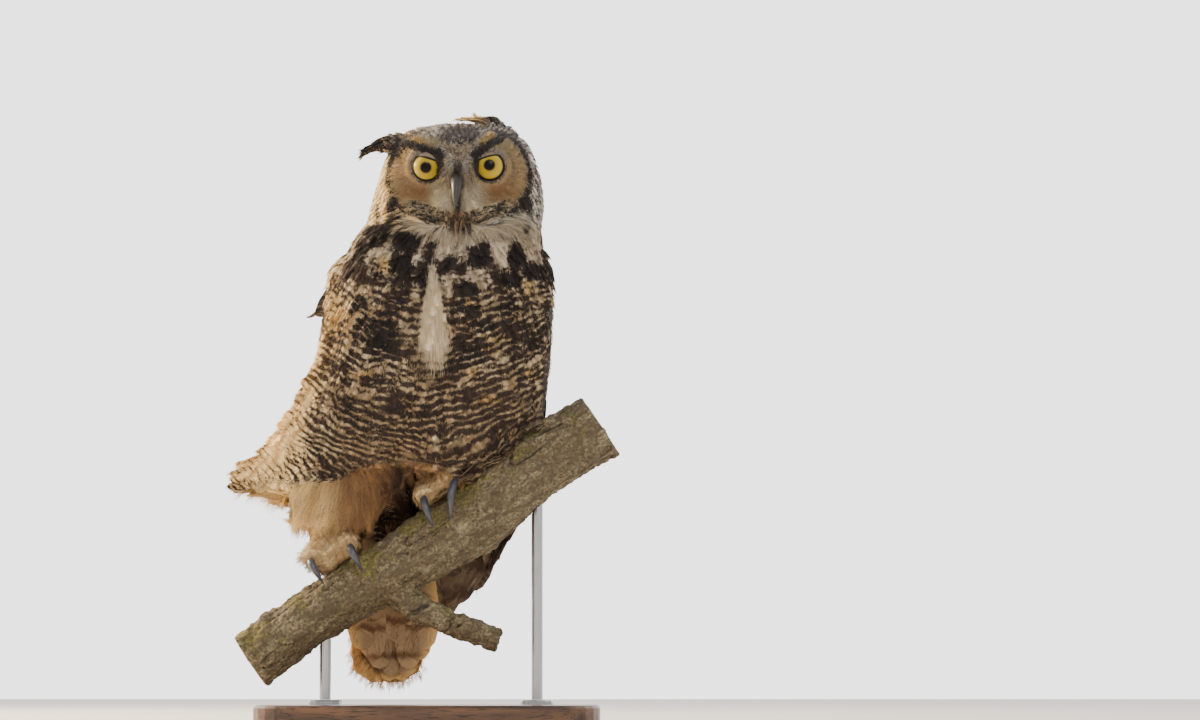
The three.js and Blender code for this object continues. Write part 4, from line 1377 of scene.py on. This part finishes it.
lid_lines, lid_ups = [], []
random = np.random.default_rng(54)
for node, line_up in LID_LINE.items():
    low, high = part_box(node)
    centre = np.array((low + high) / 2)
    radius = (high.x - low.x) / 2 / MM
    outward = np.sign(centre[0] - FACE_MIDDLE[0])
    turns = np.radians(np.arange(0, 360, 5))
    around = len(turns)
    across, up = np.cos(turns), np.sin(turns)
    to_line = np.minimum(line_up / np.maximum(up - LID_RISE * across, 1e-3), 60)
    opening = np.exp(-LID_OPENING / LID_CORNER) + np.exp(-to_line / LID_CORNER)
    opening = -np.log(opening) * LID_CORNER
    width = LID_WIDTH[0] + (LID_WIDTH[1] - LID_WIDTH[0]) * fade(up, 0, 0.7)
    rows = []
    for t in (0.0, 0.12, 0.3, 0.5, 0.75, 1.0):
        reach = opening + (np.maximum(opening, LID_FOOT) + width - opening) * t
        height = lid_height(reach, radius) + (LID_LIFT if t > 0.1 else LID_LIFT / 2)
        rows.append(columns(outward * across * reach, -height, up * reach))
    skirt = centre + columns(outward * across, 0, up) * SKIRT * MM
    meets = np.array([(centre[1] - skin_ahead(spot)) / MM - 1 for spot in skirt])
    skirt = columns(outward * across * SKIRT, -meets, up * SKIRT)
    rows += [(rows[-1] + skirt) / 2 - (0, 0.7, 0), skirt]
    faces = [
        (row * around + i, row * around + j, (row + 1) * around + j, (row + 1) * around + i)
        for row in range(len(rows) - 1)
        for i, j in zip(range(around), (*range(1, around), 0))
    ]
    places = np.concatenate(rows) * MM + centre
    lid = new_object(node.replace("eye", "eyelids"), places, np.array(faces))
    from_edge = np.concatenate([np.hypot(row[:, 0], row[:, 2]) - opening for row in rows])
    add_value(lid.data, "from_edge", "FLOAT", from_edge)
    select_only(lid)
    bpy.ops.object.mode_set(mode="EDIT")
    bpy.ops.mesh.select_all(action="SELECT")
    bpy.ops.mesh.normals_make_consistent(inside=False)
    bpy.ops.object.mode_set(mode="OBJECT")
    if normals_of(lid.data)[:, 1].mean() > 0:
        lid.data.flip_normals()
    apply_modifier(lid, "SOLIDIFY", thickness=LID_THICK * MM, offset=-1)
    apply_modifier(lid, "SUBSURF", levels=1, render_levels=1)
    lid.data.shade_smooth()
    lid.data.materials.append(lid_skin)
    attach(lid, "root")

    # Lines for the lids' own feathers, out over the lid and on over the skin.
    for turn in random.uniform(0, 360, LID_FEATHERS):
        at, meeting = (
            np.interp(turn, np.degrees(turns), ends, period=360) for ends in (opening, meets)
        )
        way = np.array((outward * math.cos(math.radians(turn)), 0, math.sin(math.radians(turn))))
        start = max(at, LID_FOOT)
        reaches = start + random.uniform(1.5, 6.0) + np.linspace(0, 5.5, 5)
        spots = centre + way * reaches[:, None] * MM
        edge = start + LID_WIDTH[0]
        slope = np.interp(reaches, [edge, SKIRT], [lid_height(edge, radius) + LID_LIFT, meeting])
        on_lid = lid_height(reaches, radius) + LID_LIFT
        spots[:, 1] -= np.where(reaches < edge, on_lid, slope + 0.4) * MM
        for spot in spots:
            spot[1] = min(spot[1], skin_ahead(spot) - 0.3 * MM)
        lid_lines.append(spots)
        lid_ups.append(unit(np.tile(way * 0.25 + (0, -1, 0), (5, 1))))
lid_lines = np.array(lid_lines)
grow(
    "lid_feathers", None, None, FACE_SHAPES, 5.5, 3.0, (0.0, 0.7), head_markings,
    55, jitter=0, ruffle=0.1, lines=(lid_lines, np.array(lid_ups)), material=face_matt,
)


# ------------------------------------------------------------------------------ bill and claws
# Cast resin, painted as horn: a grey-black bill with a satin gloss, and glossier claws.
def horn_material(name, dark, light, roughness):
    """Layered horn, with fine paler lines along it."""
    material, tree = new_material(name)
    lines = add_node(
        tree, "TexNoise",
        {
            "Vector": add_node(
                tree, "Mapping",
                {"Vector": add_node(tree, "TexCoord").outputs["Object"], "Scale": (1, 1, 0.2)},
            ),
            "Scale": 420.0, "Detail": 4.0,
        },
    )
    finish_material(
        tree,
        {
            "Base Color": add_node(
                tree, "Mix", {0: lines, 6: dark, 7: light}, data_type="RGBA",
            ).outputs[2],
            "Roughness": roughness, "Coat Weight": 0.25, "Coat Roughness": 0.25,
        },
        lines, 0.0002, 0.4,
    )
    return material


def copy_of(nodes, name):
    """A copy of CAD nodes in one object."""
    merged = cleaned(nodes)
    mesh = bpy.data.meshes.new(name)
    merged.to_mesh(mesh)
    merged.free()
    made = bpy.data.objects.new(name, mesh)
    bpy.context.collection.objects.link(made)
    return made


CLAWS = [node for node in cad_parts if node.startswith("claw_")]
CLAW_SWELL = 1.2  # mm that a claw's root stands out beyond its solid


def thicken(claws):
    """Swells each claw towards its root, for the smoothing draws it in."""
    places, normals = points_of(claws.data), normals_of(claws.data)
    for node in CLAWS:
        low, high = (np.array(corner) - side for side, corner in zip((MM, -MM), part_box(node)))
        here = np.all((places > low) & (places < high), axis=1)
        root = (places[here, 2] - low[2]) / (high[2] - low[2])
        places[here] += normals[here] * (CLAW_SWELL * MM * fade(root, 0, 0.6))[:, None]
    move_points(claws.data, places)


bill_horn = horn_material("satin_bill_horn", "#1b1918", "#37322e", 0.58)
claw_horn = horn_material("glossy_claw_horn", "#26262b", "#50505a", 0.34)
for nodes, name, material, slot in (
    (["bill_upper", "bill_lower"], "bill", bill_horn, "horn"),
    (CLAWS, "claws", claw_horn, "claw_horn"),
):
    horn = copy_of(nodes, name)
    apply_modifier(horn, "SUBSURF", levels=2, render_levels=2)
    if name == "claws":
        thicken(horn)
    horn.data.shade_smooth()
    horn.data.materials.append(material)
    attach(horn, "root")
    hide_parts(*nodes)


# ------------------------------------------------------------------------------------- branch
# A cut length of a mossy hardwood branch, its bark cracked and its two ends sawn flat.
BARK_GRAIN = 1.4 * MM
BRANCH_ALONG = np.array((0.828, 0.0, 0.561))  # the branch's way, and the way up from it
BRANCH_UP = np.array((-0.561, 0.0, 0.828))
BRANCH_MIDDLE = np.array((-3.0, -6.0, 161.0))  # a place on its centre line, in mm
BRANCH_HALF = 187.0  # mm from its middle to each sawn end
bark = copy_of(["perch", "perch_fork"], "branch")
apply_modifier(bark, "REMESH", mode="VOXEL", voxel_size=BARK_GRAIN)
places, normals = points_of(bark.data), normals_of(bark.data)
at = places / MM
along = (at - BRANCH_MIDDLE) @ BRANCH_ALONG
outward = at - BRANCH_MIDDLE - along[:, None] * BRANCH_ALONG
sawn = fade(np.abs(normals @ BRANCH_ALONG), 0.8, 0.95) * (np.abs(along) > BRANCH_HALF - 6)
stretched = columns(along / 5, at[:, 1], at @ BRANCH_UP)

# Knobs of three sizes stand out from the bark, and cracks run along it.
rough = 3.6 * (clouds(at, 12, 41) - 0.6) + 2.6 * (clouds(at, 4.5, 42) - 0.5)
rough += 1.8 * (clouds(at, 2.4, 45) - 0.5)
crack = np.abs(clouds(stretched + 2.5 * rough[:, None] / 5, 8, 43) - 0.5)
crack = crack + 0.25 * fade(clouds(stretched, 12, 44), 0.6, 0.48)
rough -= 2.0 * fade(crack, 0.05, 0.01)
rough *= 1 - sawn
move_points(bark.data, places + normals * rough[:, None] * MM)
bark.data.shade_smooth()
add_value(bark.data, "sawn", "FLOAT", sawn)
# How far into a crack each point is, for the cracks' painted shade.
add_value(bark.data, "crack", "FLOAT", 0.8 * fade(crack, 0.035, 0.01) * (1 - sawn))
add_value(bark.data, "ring", "FLOAT", np.linalg.norm(outward, axis=1))

# Bark: brown plates with paler crumbs, greyer patches, and moss where it faces up.
bark_matt, tree = new_material("mossy_bark")
place = add_node(tree, "TexCoord").outputs["Object"]
coarse = add_node(tree, "TexNoise", {"Vector": place, "Scale": 110.0, "Detail": 6.0})
fine = add_node(
    tree, "TexNoise", {"Vector": place, "Scale": 380.0, "Detail": 8.0, "Roughness": 0.7},
)
grain = add_node(tree, "MapRange", {"Value": fine, "From Min": 0.38, "From Max": 0.66})
slope = math.atan2(BRANCH_ALONG[2], BRANCH_ALONG[0])
turned = add_node(tree, "VectorRotate", {"Vector": place, "Angle": slope}, rotation_type="Y_AXIS")
lengthwise = add_node(tree, "Mapping", {"Vector": turned, "Scale": (0.3, 1, 1)})
plates = add_node(
    tree, "TexNoise",
    {"Vector": lengthwise, "Scale": 150.0, "Detail": 6.0, "Roughness": 0.65, "Distortion": 0.6},
)
plates = add_node(tree, "MapRange", {"Value": plates, "From Min": 0.28, "From Max": 0.6})
crumbs = add_node(tree, "Mix", {0: grain, 6: "#4d4231", 7: "#aa9a78"}, data_type="RGBA").outputs[2]
wood = add_node(tree, "Mix", {0: plates, 6: "#30271c", 7: crumbs}, data_type="RGBA").outputs[2]
patches = add_node(tree, "TexNoise", {"Vector": place, "Scale": 28.0, "Detail": 4.0})
greyer = add_node(tree, "MapRange", {"Value": patches, "From Min": 0.45, "From Max": 0.62})
wood = add_node(
    tree, "Mix",
    {
        0: greyer, 6: wood,
        7: add_node(
            tree, "Mix", {0: grain, 6: "#2a2219", 7: "#8b7a5b"}, data_type="RGBA",
        ).outputs[2],
    },
    data_type="RGBA",
).outputs[2]
normal = add_node(tree, "NewGeometry")
facing = add_node(tree, "SeparateXYZ", {0: normal.outputs["Normal"]})
mossy = add_node(
    tree, "Math", {0: facing.outputs["Z"], 1: 0.2, 2: patches}, operation="MULTIPLY_ADD",
)
mossy = add_node(tree, "Math", {0: coarse, 1: 0.35, 2: mossy}, operation="MULTIPLY_ADD")
mossy = add_node(tree, "MapRange", {"Value": mossy, "From Min": 0.78, "From Max": 0.94})
wood = add_node(
    tree, "Mix",
    {
        0: mossy, 6: wood,
        7: add_node(
            tree, "Mix", {0: grain, 6: "#3f3d1c", 7: "#928940"}, data_type="RGBA",
        ).outputs[2],
    },
    data_type="RGBA",
).outputs[2]
wood = add_node(tree, "Mix", {0: plates, 6: "#574a36", 7: wood}, data_type="RGBA").outputs[2]
# Painted shade: the cracks are painted near black.
wood = add_node(
    tree, "Mix",
    {0: add_node(tree, "Attribute", attribute_name="crack").outputs["Fac"], 6: wood, 7: "#1c1610"},
    data_type="RGBA",
).outputs[2]

# The sawn ends show pale wood with growth rings about 2 mm apart.
ring = add_node(
    tree, "Math",
    {0: coarse, 1: 3.0, 2: add_node(tree, "Attribute", attribute_name="ring").outputs["Fac"]},
    operation="MULTIPLY_ADD",
)
ring = add_node(tree, "Math", {0: ring, 1: 1.0}, operation="PINGPONG")
cut = add_node(tree, "Mix", {0: ring, 6: "#c2a477", 7: "#8a6c47"}, data_type="RGBA").outputs[2]
wood = add_node(
    tree, "Mix",
    {0: add_node(tree, "Attribute", attribute_name="sawn").outputs["Fac"], 6: wood, 7: cut},
    data_type="RGBA",
).outputs[2]
finish_material(tree, {"Base Color": wood, "Roughness": 0.9}, fine, 0.0015, 0.7)
bark.data.materials.append(bark_matt)
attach(bark, "root")
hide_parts("perch", "perch_fork")


# -------------------------------------------------------------------------------------- stand
# A flat block of oiled walnut with two brushed steel rods, each screwed up into the branch and
# standing in a turned steel flange.
walnut, tree = new_material("oiled_walnut")
lengthwise = add_node(
    tree, "Mapping",
    {"Vector": add_node(tree, "TexCoord").outputs["Object"], "Scale": (0.08, 1, 1)},
)
figure = add_node(
    tree, "TexNoise", {"Vector": lengthwise, "Scale": 42.0, "Detail": 5.0, "Distortion": 1.6},
)
pores = add_node(tree, "TexNoise", {"Vector": lengthwise, "Scale": 900.0, "Detail": 3.0})
timber = add_node(
    tree, "Mix",
    {
        0: add_node(tree, "MapRange", {"Value": figure, "From Min": 0.35, "From Max": 0.66}),
        6: "#3b2618", 7: "#6f4b31",
    },
    data_type="RGBA",
).outputs[2]
timber = add_node(
    tree, "Mix",
    {
        0: add_node(tree, "MapRange", {"Value": pores, "From Min": 0.36, "From Max": 0.46}),
        6: "#291a10", 7: timber,
    },
    data_type="RGBA",
).outputs[2]
finish_material(
    tree, {"Base Color": timber, "Roughness": 0.42, "Coat Weight": 0.15, "Coat Roughness": 0.3},
    pores, 0.0001, 0.4,
)

# Drawn steel, brushed along its length by fine abrasive.
steel, tree = new_material("brushed_steel")
brushed = add_node(
    tree, "TexNoise",
    {
        "Vector": add_node(
            tree, "Mapping",
            {"Vector": add_node(tree, "TexCoord").outputs["Object"], "Scale": (1, 1, 0.02)},
        ),
        "Scale": 2600.0, "Detail": 2.0,
    },
)
dulled = add_node(
    tree, "MapRange",
    {"Value": brushed, "From Min": 0.3, "From Max": 0.7, "To Min": 0.24, "To Max": 0.42},
)
metal = add_node(
    tree, "Mix", {0: brushed, 6: "#a8a9ab", 7: "#c9cacc"}, data_type="RGBA",
).outputs[2]
finish_material(
    tree, {"Base Color": metal, "Roughness": dulled, "Metallic": 1.0}, brushed, 5e-05, 0.3,
)
for node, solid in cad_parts.items():
    if node.startswith("stand_"):
        solid.data.materials.clear()
        solid.data.materials.append(walnut if node == "stand_base" else steel)


# --------------------------------------------------------------------------- floor and lights
bpy.ops.mesh.primitive_plane_add(size=8, location=(0, 0, 0))
floor = bpy.context.object
floor.name = "floor"

# A wide sheet of matt off-white paper.
pale, tree = new_material("pale_paper")
finish_material(tree, {"Base Color": "#e9e7e3", "Roughness": 0.9})
floor.data.materials.append(pale)

# Soft light from all round, much brighter behind the owl than before it.
world = bpy.data.worlds.new("studio")
bpy.context.scene.world = world
world.use_nodes = True
tree = world.node_tree
tree.nodes.clear()
direction = add_node(tree, "TexCoord")
split = add_node(tree, "SeparateXYZ", {0: direction.outputs["Generated"]})
behind = add_node(
    tree, "MapRange",
    {
        "Value": split.outputs["Y"], "From Min": 0.1, "From Max": 0.95, "To Min": 0.95,
        "To Max": 2.9,
    },
    interpolation_type="SMOOTHSTEP",
)
sky = add_node(tree, "Background", {"Strength": behind, "Color": (1, 1, 1, 1)})
add_node(tree, "OutputWorld", {"Surface": sky})

# A warm low lamp at the owl's right, a little behind it, and a weak one in front: place, width
# in metres, power in watts and colour.
LIGHTS_AIM = Vector((0, 0, 0.35))
for name, place, size, power, colour in (
    ("sun_side", (-1.9, 0.9, 1.1), 0.5, 150, "#ffe0b0"),
    ("front_fill", (0.3, -2.4, 1.9), 1.1, 18, "#fffaf4"),
):
    light = bpy.data.lights.new(name, "AREA")
    light.shape = "DISK"
    light.size = size
    light.energy = power
    light.color = tint(colour)
    lamp = bpy.data.objects.new(name, light)
    lamp.location = place
    lamp.rotation_euler = (LIGHTS_AIM - Vector(place)).to_track_quat("-Z", "Y").to_euler()
    bpy.context.collection.objects.link(lamp)
